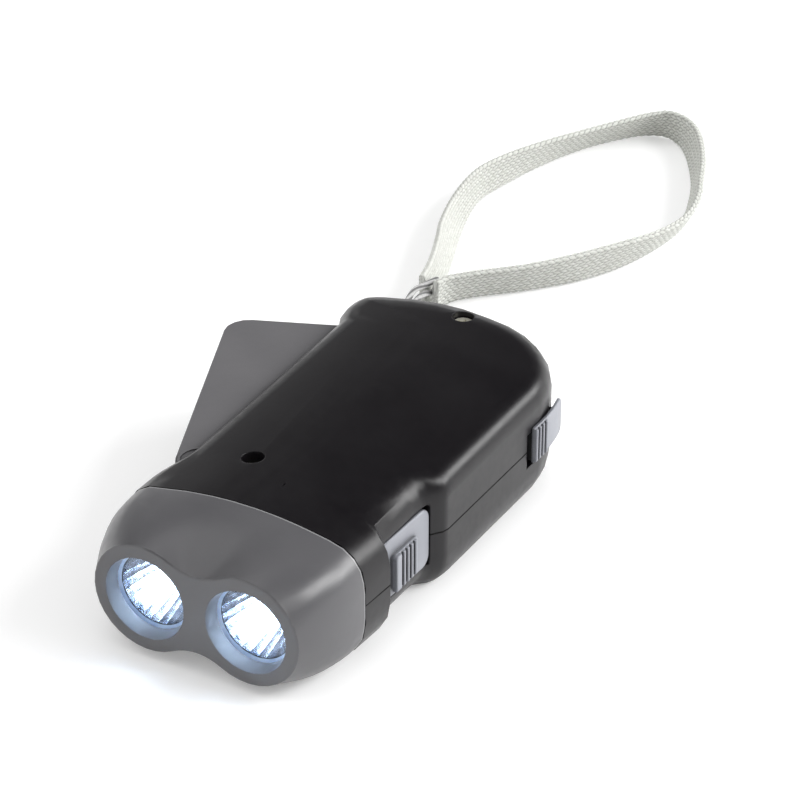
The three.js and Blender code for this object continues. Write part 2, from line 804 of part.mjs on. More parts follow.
function cellCradle() {
  const place = { x: cellX, y: cellY };
  const bore = cellRadius + gap;
  const ring = rod(place, bore + cradleWall, 0, cradleTop, roundSides);
  const hollow = rod(place, bore, 0, cradleTop + overrun, roundSides);
  const pad = rod(place, cradlePadRadius, 0, cellBottom, roundSides);
  const spigotRoom = seamY + spigotLength + gap;
  return join(cut(ring, hollow, block(-bodyLength, bodyLength, -bodyLength, spigotRoom, 0, cradleTop)), pad);
}

function boardRibs() {
  const ribYs = [boardFrontY + boardRibInset, boardFrontY + boardLength / 2];
  return ribYs.map((y) => {
    const outerX = boardX + boardThickness + boardRibLip + gap;
    const rib = block(boardX - boardRibLip - gap, outerX, y, y + boardRibWidth, 0, boardRibTop);
    const groove = block(boardX - gap, boardX + boardThickness + gap, y - overrun, y + boardRibWidth + overrun,
      boardBottom - gap, boardRibTop + overrun);
    return cut(rib, groove);
  });
}

// Ledge that carries the foot of the switch slider's flange
function switchRail() {
  const outerX = scoopHalfWidth - wall;
  const flangeX = outerX - gap - sliderFlange;
  const ledge = lowerHeight - panelHalfHeight - sliderFlangeLip - gap;
  const floor = block(flangeX - gap - boardRibLip, scoopHalfWidth, boardFrontY, panelRearY, 0, ledge);
  const lip = block(flangeX - gap - boardRibLip, flangeX - gap, boardFrontY, panelRearY, 0, ledge + sliderFlangeLip);
  return join(floor, lip);
}

// Ledge that carries the foot of the lock slider's flange
function lockRail() {
  const outerX = sideHalfWidth - wall;
  const flangeX = outerX - gap - lockFlange;
  const ledge = lowerHeight - lockHalfHeight - lockFlangeLip - gap;
  const y0 = lockSlotFrontY;
  const y1 = lockSlotFrontY + lockSlotLength;
  const floor = block(flangeX - gap - lockRailLip, sideHalfWidth, y0, y1, 0, ledge);
  const lip = block(flangeX - gap - lockRailLip, flangeX - gap, y0, y1, 0, ledge + lockFlangeLip);
  return join(floor, lip);
}

// Head shell: a double barrel in front that widens to the casing's section at the seam

const lampZ = lowerHeight;

function discExit(angle, centreX, radius) {
  const along = Math.abs(centreX * Math.cos(angle));
  const across = centreX * Math.sin(angle);
  const left = radius * radius - across * across;
  return left < 0 ? null : { near: along - Math.sqrt(left), far: along + Math.sqrt(left) };
}

function barrelReach(angle) {
  const folded = Math.atan2(Math.abs(Math.sin(angle)), Math.abs(Math.cos(angle)));
  const valleyZ = Math.sqrt((lobeRadius + valleyRadius) ** 2 - lampX ** 2);
  const share = lobeRadius / (lobeRadius + valleyRadius);
  const tangentAngle = Math.atan2(valleyZ * share, lampX * (1 - share));
  if (folded < tangentAngle) {
    return discExit(folded, lampX, lobeRadius).far;
  }
  const sideways = valleyZ * Math.cos(folded);
  return valleyZ * Math.sin(folded) - Math.sqrt(valleyRadius ** 2 - sideways ** 2);
}

function lampRoomReach(angle) {
  const rise = Math.abs(Math.sin(angle));
  const slot = rise > 0 ? lampRoomNeck / rise : Infinity;
  const disc = discExit(angle, lampX, lampRoomRadius);
  return disc && disc.near <= slot ? disc.far : slot;
}

// Section of the casing at the seam, moved in by inset, as seen from the front.
function seamSection(inset) {
  const upper = upperRings(inset, lowerHeight);
  const lower = lowerRings(inset, lowerHeight);
  const left = upper[0].length - 2;
  const right = 1;
  const points = [];
  upper.forEach((ring) => points.push(seenFromFront(ring[right])));
  upper.toReversed().forEach((ring) => points.push(seenFromFront(ring[left])));
  lower.slice(1).forEach((ring) => points.push(seenFromFront(ring[left])));
  lower.slice(1).toReversed().forEach((ring) => points.push(seenFromFront(ring[right])));
  return points;
}

function sectionReach(section, angle) {
  const direction = new THREE.Vector2(Math.cos(angle), Math.sin(angle));
  const centre = new THREE.Vector2(0, lampZ);
  let reach = 0;
  section.forEach((point, i) => {
    const a = point.clone().sub(centre);
    const edge = section[(i + 1) % section.length].clone().sub(point);
    const cross = direction.cross(edge);
    if (cross !== 0) {
      const distance = a.cross(edge) / cross;
      const share = a.cross(direction) / cross;
      if (distance > 0 && share >= 0 && share <= 1) {
        reach = Math.max(reach, distance);
      }
    }
  });
  return reach;
}

function ringAround(y, reach) {
  const points = [];
  for (let i = 0; i < headSides; i += 1) {
    const angle = (i / headSides) * 2 * Math.PI;
    const distance = reach(angle);
    points.push(new THREE.Vector3(distance * Math.cos(angle), y, lampZ + distance * Math.sin(angle)));
  }
  return points;
}

function headBlend(share) {
  return 1 - (1 - share) ** headBlendPower;
}

function headShell() {
  const seam = seamSection(0);
  const fitted = seamSection(wall + gap);
  const roomEnd = seamSection(wall + gap + spigotWall);
  const blendShares = [0.12, 0.25, 0.4, 0.55, 0.7, 0.85, 1];
  const rimStep = rimRounding * rimStepShare;
  const outerRings = [
    ringAround(frontY, (angle) => barrelReach(angle) - rimRounding),
    ringAround(frontY + rimStep, (angle) => barrelReach(angle) - rimStep),
    ringAround(frontY + rimRounding, barrelReach),
  ];
  for (const share of blendShares) {
    const y = lerp(frontY + rimRounding, seamY, share);
    const blend = headBlend(share);
    outerRings.push(ringAround(y, (angle) => lerp(barrelReach(angle), sectionReach(seam, angle), blend)));
  }
  outerRings.push(ringAround(seamY, (angle) => sectionReach(fitted, angle)));
  outerRings.push(ringAround(seamY + spigotLength, (angle) => sectionReach(fitted, angle)));
  const roomRings = [
    ringAround(lensFrontY, lampRoomReach),
    ringAround(lensFrontY + lampRoomLength, lampRoomReach),
    ringAround(lensFrontY + lampRoomLength + lampRoomFlare, (angle) => sectionReach(roomEnd, angle)),
    ringAround(seamY + spigotLength + overrun, (angle) => sectionReach(roomEnd, angle)),
  ];
  let body = cut(loft(outerRings), loft(roomRings));
  for (const x of [-lampX, lampX]) {
    body = cut(body, rodAlongY(x, lampZ, boreRadius, boreFloorRadius, frontY, lensFrontY, headSides / 2));
    body = cut(body, rodAlongY(x, lampZ, boreRadius, boreRadius, frontY - overrun, frontY, headSides / 2));
  }
  return body;
}

function pairPlate(radius, neck, y0, y1) {
  const discs = [-lampX, lampX].map((x) => rodAlongY(x, lampZ, radius, radius, y0, y1));
  return join(...discs, block(-lampX, lampX, y0, y1, lampZ - neck, lampZ + neck));
}

function lensPlate() {
  return pairPlate(lampRoomRadius - gap, lampRoomNeck - gap, lensFrontY + snugGap, lensFrontY + lensThickness);
}

function bowlRadius(share) {
  return lerp(bowlHoleRadius, bowlRimRadius, Math.sqrt(share));
}

// One moulding: a flange in front, two bowls behind it and the pegs that carry the lamp board
function reflector() {
  const flangeEnd = reflectorY + flangeThickness;
  let body = pairPlate(lampRoomRadius - gap, lampRoomNeck - gap, reflectorY, flangeEnd);
  const bowlShares = [0, 0.12, 0.3, 0.6, 1];
  for (const x of [-lampX, lampX]) {
    body = cut(body, rodAlongY(x, lampZ, bowlRimRadius, bowlRimRadius, reflectorY - overrun, flangeEnd + overrun, bowlSides));
    const inner = bowlShares.map((share) => new THREE.Vector2(bowlRadius(share), -bowlDepth * share));
    const profile = inner.map((point) => new THREE.Vector2(point.x, reflectorY + bowlDepth + point.y));
    const outer = profile.toReversed().map((point) => new THREE.Vector2(point.x + bowlWall, point.y));
    const closed = [...profile, ...outer, profile[0]];
    const geometry = new THREE.LatheGeometry(closed, bowlSides);
    geometry.rotateY(Math.PI / 2);
    geometry.translate(x, 0, lampZ);
    body = join(body, solid(geometry));
  }
  for (const side of [-1, 1]) {
    const z = lampZ + (side * lampPegSpacing) / 2;
    body = join(body, rodAlongY(0, z, lampPegRadius, lampPegRadius, reflectorY, lampBoardY, smallSides));
    const tipEnd = lampBoardY + lampBoardThickness + gap;
    body = join(body, rodAlongY(0, z, lampPegTipRadius, lampPegTipRadius, lampBoardY - overrun, tipEnd, smallSides));
  }
  return body;
}

function lampBulb(x) {
  const domeSteps = 4;
  const back = lampBoardY;
  const neck = back - bulbFlangeHeight;
  const domeY = back - bulbLength + bulbRadius;
  const profile = [
    new THREE.Vector2(0, back),
    new THREE.Vector2(bulbFlangeRadius, back),
    new THREE.Vector2(bulbFlangeRadius, neck),
    new THREE.Vector2(bulbRadius, neck),
  ];
  for (let i = 0; i < domeSteps; i += 1) {
    const angle = (i / domeSteps) * (Math.PI / 2);
    profile.push(new THREE.Vector2(bulbRadius * Math.cos(angle), domeY - bulbRadius * Math.sin(angle)));
  }
  profile.push(new THREE.Vector2(0, domeY - bulbRadius));
  const geometry = new THREE.LatheGeometry(profile, smallSides);
  geometry.translate(x, 0, lampZ);
  return solid(geometry);
}

function lampBoard() {
  const halfWidth = lampBoardWidth / 2;
  const halfHeight = lampBoardHeight / 2;
  const rear = lampBoardY + lampBoardThickness;
  let body = block(-halfWidth, halfWidth, lampBoardY, rear, lampZ - halfHeight, lampZ + halfHeight);
  for (const side of [-1, 1]) {
    const z = lampZ + (side * lampPegSpacing) / 2;
    const radius = lampPegTipRadius + gap;
    body = cut(body, rodAlongY(0, z, radius, radius, lampBoardY - overrun, rear + overrun, smallSides));
  }
  return body;
}

// Gears

function involute(angle) {
  return Math.tan(angle) - angle;
}

function toothRing({ teeth, toothModule, addendumShare, phase, first = 0, count = teeth }) {
  const pitchRadius = (teeth * toothModule) / 2;
  const slant = degToRad(pressureAngle);
  const baseRadius = pitchRadius * Math.cos(slant);
  const rootRadius = pitchRadius - dedendumShare * toothModule;
  const tipRadius = pitchRadius + addendumShare * toothModule;
  const halfAngle = ((Math.PI * toothModule) / 2 - backlash / 2) / (2 * pitchRadius);
  const middle = rootRadius < baseRadius ? [baseRadius, pitchRadius] : [pitchRadius];
  const radii = [rootRadius, ...middle, tipRadius];
  const spread = (radius) => {
    const pressure = radius > baseRadius ? Math.acos(baseRadius / radius) : 0;
    return halfAngle + involute(slant) - involute(pressure);
  };
  const points = [];
  const add = (radius, angle) => {
    points.push(new THREE.Vector2(radius * Math.cos(angle), radius * Math.sin(angle)));
  };
  for (let i = first; i < first + count; i += 1) {
    const centre = phase + (i * 2 * Math.PI) / teeth;
    radii.forEach((radius) => add(radius, centre - spread(radius)));
    radii.toReversed().forEach((radius) => add(radius, centre + spread(radius)));
  }
  return points;
}

function shifted(points, place) {
  return points.map((point) => point.clone().add(new THREE.Vector2(place.x, place.y)));
}

// Phase that makes a gear's tooth meet the driving gear's gap along their line of centres
function meshingPhase(drivePhase, driveTeeth, teeth, lineDegrees) {
  const line = degToRad(lineDegrees);
  return line + Math.PI - ((drivePhase - line) * driveTeeth) / teeth + Math.PI / teeth;
}

const rackPitchAngle = 360 / rackCircleTeeth;
const rackPhase = degToRad(rackStartAngle + rackPitchAngle / 2);
const drivePhase = meshingPhase(rackPhase, rackCircleTeeth, pinionTeeth, firstLineAngle);
const secondPinionPhase = meshingPhase(0, wheelTeeth, pinionTeeth, secondLineAngle);
const rotorPhase = meshingPhase(0, wheelTeeth, pinionTeeth, rotorLineAngle);

function pinion(place, toothModule, phase, z0, z1) {
  const ring = toothRing({ teeth: pinionTeeth, toothModule, addendumShare: pinionAddendumShare, phase });
  return prism(shifted(ring, place), z0, z1);
}

function wheel(place, toothModule, z0, z1) {
  const ring = toothRing({ teeth: wheelTeeth, toothModule, addendumShare: wheelAddendumShare, phase: 0 });
  return prism(shifted(ring, place), z0, z1);
}

function shaftBore(place, z0, z1) {
  return rod(place, shaftRadius + gap, z0 - overrun, z1 + overrun);
}

function drivePinion() {
  const top = drivePinionBottom + drivePinionHeight;
  const wheelTop = firstWheelBottom + firstWheelHeight;
  const teeth = pinion(firstShaft, rackModule, drivePhase, drivePinionBottom, top);
  const hub = rod(firstShaft, driveHubRadius, wheelTop, drivePinionBottom, roundSides);
  const spigot = rod(firstShaft, driveSpigotRadius, firstWheelBottom, wheelTop, roundSides);
  return cut(join(teeth, hub, spigot), shaftBore(firstShaft, firstWheelBottom, top));
}

function firstWheel() {
  const top = firstWheelBottom + firstWheelHeight;
  const bore = rod(firstShaft, driveSpigotRadius + gap, firstWheelBottom - overrun, top + overrun, roundSides);
  return cut(wheel(firstShaft, firstModule, firstWheelBottom, top), bore);
}

function secondGear() {
  const wheelTop = secondWheelBottom + secondWheelHeight;
  const top = wheelTop + secondPinionHeight;
  const disc = wheel(secondShaft, secondModule, secondWheelBottom, wheelTop);
  const teeth = pinion(secondShaft, firstModule, secondPinionPhase, wheelTop, top);
  return cut(join(disc, teeth), shaftBore(secondShaft, secondWheelBottom, top));
}

function rotorPinion() {
  const top = rotorPinionBottom + rotorPinionHeight;
  const teeth = pinion(rotor, secondModule, rotorPhase, rotorPinionBottom, top);
  return cut(teeth, shaftBore(rotor, rotorPinionBottom, top));
}

function hullOutline(centres, radius) {
  const rim = centres.flatMap((centre) => arcPoints(centre.x, centre.y, radius, 0, 360, smallSides));
  const sorted = rim.toSorted((a, b) => a.x - b.x || a.y - b.y);
  const half = (list) => {
    const chain = [];
    for (const point of list) {
      while (chain.length > 1) {
        const turn = chain.at(-1).clone().sub(chain.at(-2)).cross(point.clone().sub(chain.at(-1)));
        if (turn > 0) {
          break;
        }
        chain.pop();
      }
      chain.push(point);
    }
    chain.pop();
    return chain;
  };
  return [...half(sorted), ...half(sorted.toReversed())];
}

function gearPlate() {
  let body = prism(hullOutline(posts, gearPlateMargin), gearPlateBottom, gearPlateTop);
  const hole = (place, radius) => rod(place, radius, gearPlateBottom - overrun, gearPlateTop + overrun);
  body = cut(body, hole(firstShaft, driveHubRadius + gap));
  body = cut(body, hole(secondShaft, shaftRadius + gap), hole(rotor, shaftRadius + gap));
  for (const post of posts) {
    body = cut(body, hole(post, plateScrewRadius + gap));
  }
  return body;
}

function shaft(place, top) {
  return rod(place, shaftRadius, shaftFloor, top, smallSides);
}

function ring(place, outerRadius, innerRadius, z0, z1) {
  const body = rod(place, outerRadius, z0, z1, roundSides);
  return cut(body, rod(place, innerRadius, z0 - overrun, z1 + overrun, roundSides));
}

function flywheel() {
  const magnetTop = magnetBottom + magnetHeight;
  const discBottom = magnetTop + gap;
  const disc = rod(rotor, flywheelRadius, discBottom, discBottom + flywheelHeight, roundSides);
  const hub = rod(rotor, flywheelHubRadius, magnetBottom, discBottom, roundSides);
  return cut(join(disc, hub), shaftBore(rotor, magnetBottom, discBottom + flywheelHeight));
}

// Generator core: a U round the magnet with its bridge through the coil
function statorCore() {
  const top = coreBottom + coreHeight;
  const poleRadius = magnetRadius + poleGap;
  const outerReach = poleRadius + coreArmWidth;
  const frame = block(rotor.x - outerReach, rotor.x + outerReach, coreBridgeFrontY, coreArmEndY, coreBottom, top);
  const bridgeRear = coreBridgeFrontY + coreBridgeDepth;
  const poleStartY = rotor.y - magnetRadius;
  const low = coreBottom - overrun;
  const high = top + overrun;
  const neck = block(rotor.x - poleRadius, rotor.x + poleRadius, bridgeRear, poleStartY, low, high);
  const inside = block(rotor.x - magnetRadius, rotor.x + magnetRadius, bridgeRear, coreArmEndY + overrun, low, high);
  const poles = rod(rotor, poleRadius, low, high, headSides / 2);
  let body = cut(frame, neck, inside, poles);
  for (const post of corePosts()) {
    body = cut(body, rod(post, plateScrewRadius + gap, low, high));
  }
  return body;
}

const bridgeY = coreBridgeFrontY + coreBridgeDepth / 2;
const bridgeZ = coreBottom + coreHeight / 2;

function coilBobbin() {
  const x0 = rotor.x - coilLength / 2;
  const x1 = rotor.x + coilLength / 2;
  const halfDepth = coreBridgeDepth / 2 + gap;
  const halfHeight = coreHeight / 2 + gap;
  const outerDepth = halfDepth + bobbinWall;
  const outerHeight = halfHeight + bobbinWall;
  const tube = block(x0, x1, bridgeY - outerDepth, bridgeY + outerDepth, bridgeZ - outerHeight, bridgeZ + outerHeight);
  const flanges = [
    rodAlongX(bridgeY, bridgeZ, coilFlangeRadius, x0, x0 + coilFlangeThickness),
    rodAlongX(bridgeY, bridgeZ, coilFlangeRadius, x1 - coilFlangeThickness, x1),
  ];
  const bore = block(x0 - overrun, x1 + overrun, bridgeY - halfDepth, bridgeY + halfDepth,
    bridgeZ - halfHeight, bridgeZ + halfHeight);
  return cut(join(tube, ...flanges), bore);
}

function coilWinding() {
  const x0 = rotor.x - coilLength / 2 + coilFlangeThickness + snugGap;
  const x1 = rotor.x + coilLength / 2 - coilFlangeThickness - snugGap;
  const outer = rodAlongX(bridgeY, bridgeZ, coilFlangeRadius - coilDepth, x0, x1);
  const halfDepth = coreBridgeDepth / 2 + gap + bobbinWall + snugGap;
  const halfHeight = coreHeight / 2 + gap + bobbinWall + snugGap;
  const bore = block(x0 - overrun, x1 + overrun, bridgeY - halfDepth, bridgeY + halfDepth,
    bridgeZ - halfHeight, bridgeZ + halfHeight);
  return cut(outer, bore);
}

// Lever: a channel open to the casing, with the toothed sector on its top plate

function leverPoint(along, across) {
  const x = pivot.x + leverAlong.x * along + leverAcross.x * across;
  const y = pivot.y + leverAlong.y * along + leverAcross.y * across;
  return new THREE.Vector2(x, y);
}

function leverPlan(inset) {
  const outerEdge = inset - leverFrontRadius;
  const rearEdge = leverLength - inset;
  const corner = leverCornerRadius - inset;
  const cornerSteps = 4;
  const points = [leverPoint(0, outerEdge)];
  for (let i = 0; i <= cornerSteps; i += 1) {
    const angle = (i / cornerSteps) * (Math.PI / 2);
    const along = rearEdge - corner + corner * Math.sin(angle);
    points.push(leverPoint(along, outerEdge + corner - corner * Math.cos(angle)));
  }
  return points;
}

// Point of the lever's rear edge, moved in by inset, at a given Y
function rearEdgeAtY(y, inset) {
  const base = leverPoint(leverLength - inset, 0);
  const across = (y - base.y) / leverAcross.y;
  return leverPoint(leverLength - inset, across);
}

function squeezeLever() {
  const sides = roundSides;
  const innerCorner = new THREE.Vector2(pivot.x, leverRearY);
  const plan = [...leverPlan(0), rearEdgeAtY(leverRearY, 0), innerCorner, pivot];
  const hub = rod(pivot, leverFrontRadius, leverBottom, leverTop, sides);
  let body = join(prism(plan, leverBottom, leverTop), hub);
  const roomBottom = leverBottom + leverPlate;
  const roomTop = leverTop - leverPlate;
  const mouthStart = -leverFrontRadius / 2;
  const roomPlan = [
    ...leverPlan(leverWall),
    leverPoint(leverLength - leverWall, leverLength),
    leverPoint(mouthStart, leverLength),
    leverPoint(mouthStart, 0),
  ];
  const hubRoom = rod(pivot, leverFrontRadius - leverWall, roomBottom, roomTop, sides);
  body = cut(body, prism(roomPlan, roomBottom, roomTop), hubRoom);
  const raisedTop = leverTop + hubRingHeight;
  const raised = ring(pivot, hubRingRadius, hubRingRadius - hubRingWidth, leverTop - leverPlate, raisedTop);
  const bore = rod(pivot, pivotBossRadius + gap, leverBottom - overrun, leverTop + overrun, roundSides);
  return cut(join(body, raised, rackSector(roomTop)), bore);
}

function rackSector(bottom) {
  const teeth = toothRing({
    teeth: rackCircleTeeth,
    toothModule: rackModule,
    addendumShare: wheelAddendumShare,
    phase: rackPhase,
    count: rackTeeth,
  });
  const rootRadius = rackPitchRadius - dedendumShare * rackModule;
  const endAngle = rackStartAngle + rackTeeth * rackPitchAngle;
  const rootArc = arcPoints(0, 0, rootRadius, endAngle, rackRootAngle, 3);
  const innerArc = arcPoints(0, 0, rackInnerRadius, rackRootAngle, rackStartAngle, 10);
  return prism(shifted([...teeth, ...rootArc, ...innerArc], pivot), bottom, leverTop);
}

// Torsion spring round the pivot boss: one arm lies along the lever's outer wall, and the other meets
// its casing post as the lever closes
function leverSpring() {
  const wireSides = 5;
  const startAngle = leverAngle + Math.PI / 2;
  const points = [tangentPoint(startAngle, -springLeverArm, 0, springBottom)];
  for (let i = 0; i <= springCurlSteps; i += 1) {
    const angle = startAngle + (i / springStepsPerCurl) * 2 * Math.PI;
    points.push(tangentPoint(angle, 0, 0, springBottom + (springPitch * i) / springStepsPerCurl));
  }
  points.push(tangentPoint(springEndAngle(), springCasingArm, 0, springTop()));
  return wireAlong(points, springWire, wireSides);
}

function springEndAngle() {
  return leverAngle + Math.PI / 2 + (springCurlSteps / springStepsPerCurl) * 2 * Math.PI;
}

function springTop() {
  return springBottom + (springPitch * springCurlSteps) / springStepsPerCurl;
}

// Place beside the curl at an angle: a run along the tangent and a step out from it
function tangentPoint(angle, run, outward, z) {
  const radius = springRadius + outward;
  const x = pivot.x + radius * Math.cos(angle) - run * Math.sin(angle);
  const y = pivot.y + radius * Math.sin(angle) + run * Math.cos(angle);
  return new THREE.Vector3(x, y, z);
}

function springPost() {
  const outward = springWire + gap + springPostRadius;
  const squeezedAngle = springEndAngle() - degToRad(leverTravelAngle);
  const place = tangentPoint(squeezedAngle, springCasingArm - springPostRadius, outward, 0);
  return rod(place, springPostRadius, 0, springTop() + springPostRadius);
}

function wireAlong(points, radius, sides) {
  const up = new THREE.Vector3(0, 0, 1);
  const rings = points.map((point, i) => {
    const before = points[Math.max(i - 1, 0)];
    const after = points[Math.min(i + 1, points.length - 1)];
    const along = after.clone().sub(before).normalize();
    const side = along.clone().cross(up).normalize();
    const rise = side.clone().cross(along);
    const section = [];
    for (let k = 0; k < sides; k += 1) {
      const angle = (k / sides) * 2 * Math.PI;
      const offset = side.clone().multiplyScalar(radius * Math.cos(angle));
      section.push(point.clone().add(offset).addScaledVector(rise, radius * Math.sin(angle)));
    }
    return section;
  });
  return loft(rings);
}

// Screws

function screw(place, head, shank) {
  const headBottom = head.top - head.height;
  let body = join(
    rod(place, head.radius, headBottom, head.top),
    rod(place, shank.radius, shank.bottom, headBottom),
  );
  const long = crossLength / 2;
  const short = crossWidth / 2;
  const z = head.top - crossDepth;
  const high = head.top + overrun;
  body = cut(body, block(place.x - long, place.x + long, place.y - short, place.y + short, z, high));
  return cut(body, block(place.x - short, place.x + short, place.y - long, place.y + long, z, high));
}

function casingScrew(place) {
  const head = { top: place.headTop, height: casingScrewHeadHeight, radius: casingScrewHeadRadius };
  return screw(place, head, { bottom: casingScrewEnd, radius: casingScrewRadius });
}

function smallScrew(place, seat) {
  const head = { top: seat + plateScrewHeadHeight, height: plateScrewHeadHeight, radius: plateScrewHeadRadius };
  return screw(place, head, { bottom: seat - plateScrewLength + gap + wall, radius: plateScrewRadius });
}

// Circuit board, switch and sliders

function circuitBoard() {
  const rearEnd = boardFrontY + boardLength;
  return block(boardX, boardX + boardThickness, boardFrontY, rearEnd, boardBottom, boardBottom + boardHeight);
}

const gripRearY = panelRearY - gripRearSetback;
const knobY = gripRearY - gripLength / 2;

function switchBody() {
  const x0 = boardX + boardThickness;
  const x1 = x0 + switchBodyDepth;
  const halfHeight = switchBodyHeight / 2;
  const y0 = knobY - (switchBodyLength + switchTravel) / 2;
  const body = block(x0, x1, y0, y0 + switchBodyLength, lowerHeight - halfHeight, lowerHeight + halfHeight);
  const slotHalf = knobHeight / 2 + gap;
  const slotY = knobY - (switchSlotLength + switchTravel) / 2;
  return cut(body, block(x1 - switchSlotDepth, x1 + overrun, slotY, slotY + switchSlotLength,
    lowerHeight - slotHalf, lowerHeight + slotHalf));
}

function switchKnob() {
  const x0 = boardX + boardThickness + switchBodyDepth - switchSlotDepth + gap;
  const x1 = scoopHalfWidth - wall - gap - sliderFlange;
  const halfHeight = knobHeight / 2;
  const y0 = knobY - knobLength / 2;
  return block(x0, x1, y0, y0 + knobLength, lowerHeight - halfHeight, lowerHeight + halfHeight);
}

function gripRibsAlongX(x, y0, length, halfHeight, count) {
  const pitch = length / count;
  const ribs = [];
  for (let i = 0; i < count; i += 1) {
    const y = y0 + pitch * i;
    ribs.push({ x, y0: y, y1: y + pitch / 2, halfHeight });
  }
  return ribs;
}

function ribBlock(rib, height) {
  return block(rib.x, rib.x + height, rib.y0, rib.y1, lowerHeight - rib.halfHeight, lowerHeight + rib.halfHeight);
}

function switchSlider() {
  const outerX = scoopHalfWidth - gap;
  const innerX = outerX - panelThickness;
  const frontEnd = scoopY - panelFrontCover;
  const low = lowerHeight - panelHalfHeight;
  const high = lowerHeight + panelHalfHeight;
  const round = panelCornerRadius;
  const steps = 4;
  const panel = prismAlongX([
    new THREE.Vector2(frontEnd, low),
    ...arcPoints(panelRearY - round, low + round, round, -90, 0, steps),
    ...arcPoints(panelRearY - round, high - round, round, 0, 90, steps),
    new THREE.Vector2(frontEnd, high),
  ], innerX, outerX);
  const flangeX = scoopHalfWidth - wall - gap;
  const flange = block(flangeX - sliderFlange, flangeX, boardFrontY + boardRibInset, panelRearY + sliderFlangeLip,
    low - sliderFlangeLip, high + sliderFlangeLip);
  const neck = block(flangeX - gap, innerX + gap, frontEnd, panelRearY - round, low, high);
  const room = casingRoom(wall + gap);
  const fitted = flange.intersect(room).intersect(room.translate(0, switchTravel, 0));
  const gripFrontY = gripRearY - gripLength;
  const base = block(innerX, outerX + gripBase, gripFrontY, gripRearY,
    lowerHeight - gripHalfHeight, lowerHeight + gripHalfHeight);
  const ribs = gripRibsAlongX(outerX, gripFrontY, gripLength, gripHalfHeight, gripRibs)
    .map((rib) => ribBlock(rib, gripBase + gripRibHeight));
  return join(panel, fitted, neck, base, ...ribs);
}

function lockSlider() {
  const y0 = lockSlotFrontY + lockTravel;
  const wallX = sideHalfWidth;
  const innerWallX = wallX - wall;
  const halfHeight = lockHalfHeight - gap;
  const plate = block(wallX + gap / 2, wallX + lockPlate, y0, y0 + lockLength,
    lowerHeight - lockHalfHeight - gap, lowerHeight + lockHalfHeight + gap);
  const stem = block(innerWallX - gap, wallX + gap, y0, lockSlotFrontY + lockSlotLength - gap,
    lowerHeight - halfHeight, lowerHeight + halfHeight);
  const ribs = gripRibsAlongX(wallX + gap, y0 + lockGripSetback, lockGripLength, lockGripHalfHeight, lockRibs)
    .map((rib) => ribBlock(rib, lockPlate + lockGripHeight));
  const flangeX = innerWallX - gap;
  const flangeLow = lowerHeight - lockHalfHeight - lockFlangeLip;
  const flangeHigh = lowerHeight + lockHalfHeight + lockFlangeLip;
  const flange = block(flangeX - lockFlange, flangeX, y0 - lockFlangeLip, y0 + lockSlotLength, flangeLow, flangeHigh);
  const armTop = lockArmBottom + lockArmHeight;
  const riserX = flangeX - lockRiserWidth;
  const riser = block(riserX, flangeX - gap, y0, y0 + lockRiserLength, flangeHigh - overrun, armTop);
  const noseLine = rackStartAngle + rackPitchAngle - leverTravelAngle;
  const nose = lockNose(noseLine, armTop);
  const noseEnd = alongFrom(pivot, noseLine, lockNoseRadius + lockNoseLength);
  const arm = block(lockArmX, lockArmX + lockArmWidth, noseEnd.y - lockNoseRoot + lockTravel,
    y0 + lockRiserLength, lockArmBottom, armTop);
  const shelf = block(lockArmX, riserX + overrun, y0, y0 + lockRiserLength, lockArmBottom, armTop);
  const carrier = join(flange, riser, arm, shelf, nose).intersect(casingRoom(wall + gap));
  return join(plate, stem, carrier, ...ribs);
}

// Nose that drops between two teeth of the squeezed lever's sector when the slider is pushed forward
function lockNose(lineDegrees, top) {
  const sideways = lineDegrees + 90;
  const tip = alongFrom(pivot, lineDegrees, lockNoseRadius);
  const root = alongFrom(pivot, lineDegrees, lockNoseRadius + lockNoseLength);
  const outline = [
    alongFrom(tip, sideways, -lockNoseTip / 2),
    alongFrom(root, sideways, -lockNoseRoot / 2),
    alongFrom(root, sideways, lockNoseRoot / 2),
    alongFrom(tip, sideways, lockNoseTip / 2),
  ];
  return prism(shifted(outline, { x: 0, y: lockTravel }), lockArmBottom, top);
}

// Battery cells

function batteryCell(index) {
  const z = cellBottom + index * (cellHeight + cellSpacing);
  return rod({ x: cellX, y: cellY }, cellRadius, z, z + cellHeight, roundSides);
}

// Lanyard: one cord round its post, out of the slot, in between the strap's two ends and back
function lanyardCord() {
  const z = lowerHeight + lanyardSlotHeight / 2;
  const x = lanyardSlotX;
  const y = lanyardPostY;
  const route = [
    [x - 0.9, y - 2.1, z],
    [x - 2.1, y - 1, z],
    [x - 2.35, y + 1.2, z],
    [x - 2.4, y + 4.6, z],
    [x - 3.2, y + 9.5, z - 0.3],
    [-26.6, 68, 11.6],
    [-30.5, 77, 9.3],
    [-31.6, 83, 8],
    [-31.4, 87, 7.3],
    [-31.2, 89.8, 6.9],
    [-31.15, 91.5, 6.5],
    [-31.1, 92.1, 5.5],
    [-31.15, 91.5, 4.5],
    [-31.2, 89.8, 4.2],
    [-31.2, 87, 5.2],
    [-30.2, 82.4, 6.8],
    [-28.3, 77, 8.6],
    [-24.4, 68, 11.3],
    [x - 0.4, y + 9.5, z - 0.2],
    [x + 1.9, y + 4.6, z],
    [x + 2.35, y + 1.2, z],
    [x + 2.1, y - 1, z],
    [x + 0.9, y - 2.1, z],
  ];
  return cordSolid(route, circleSection(cordRadius, 8), 56);
}

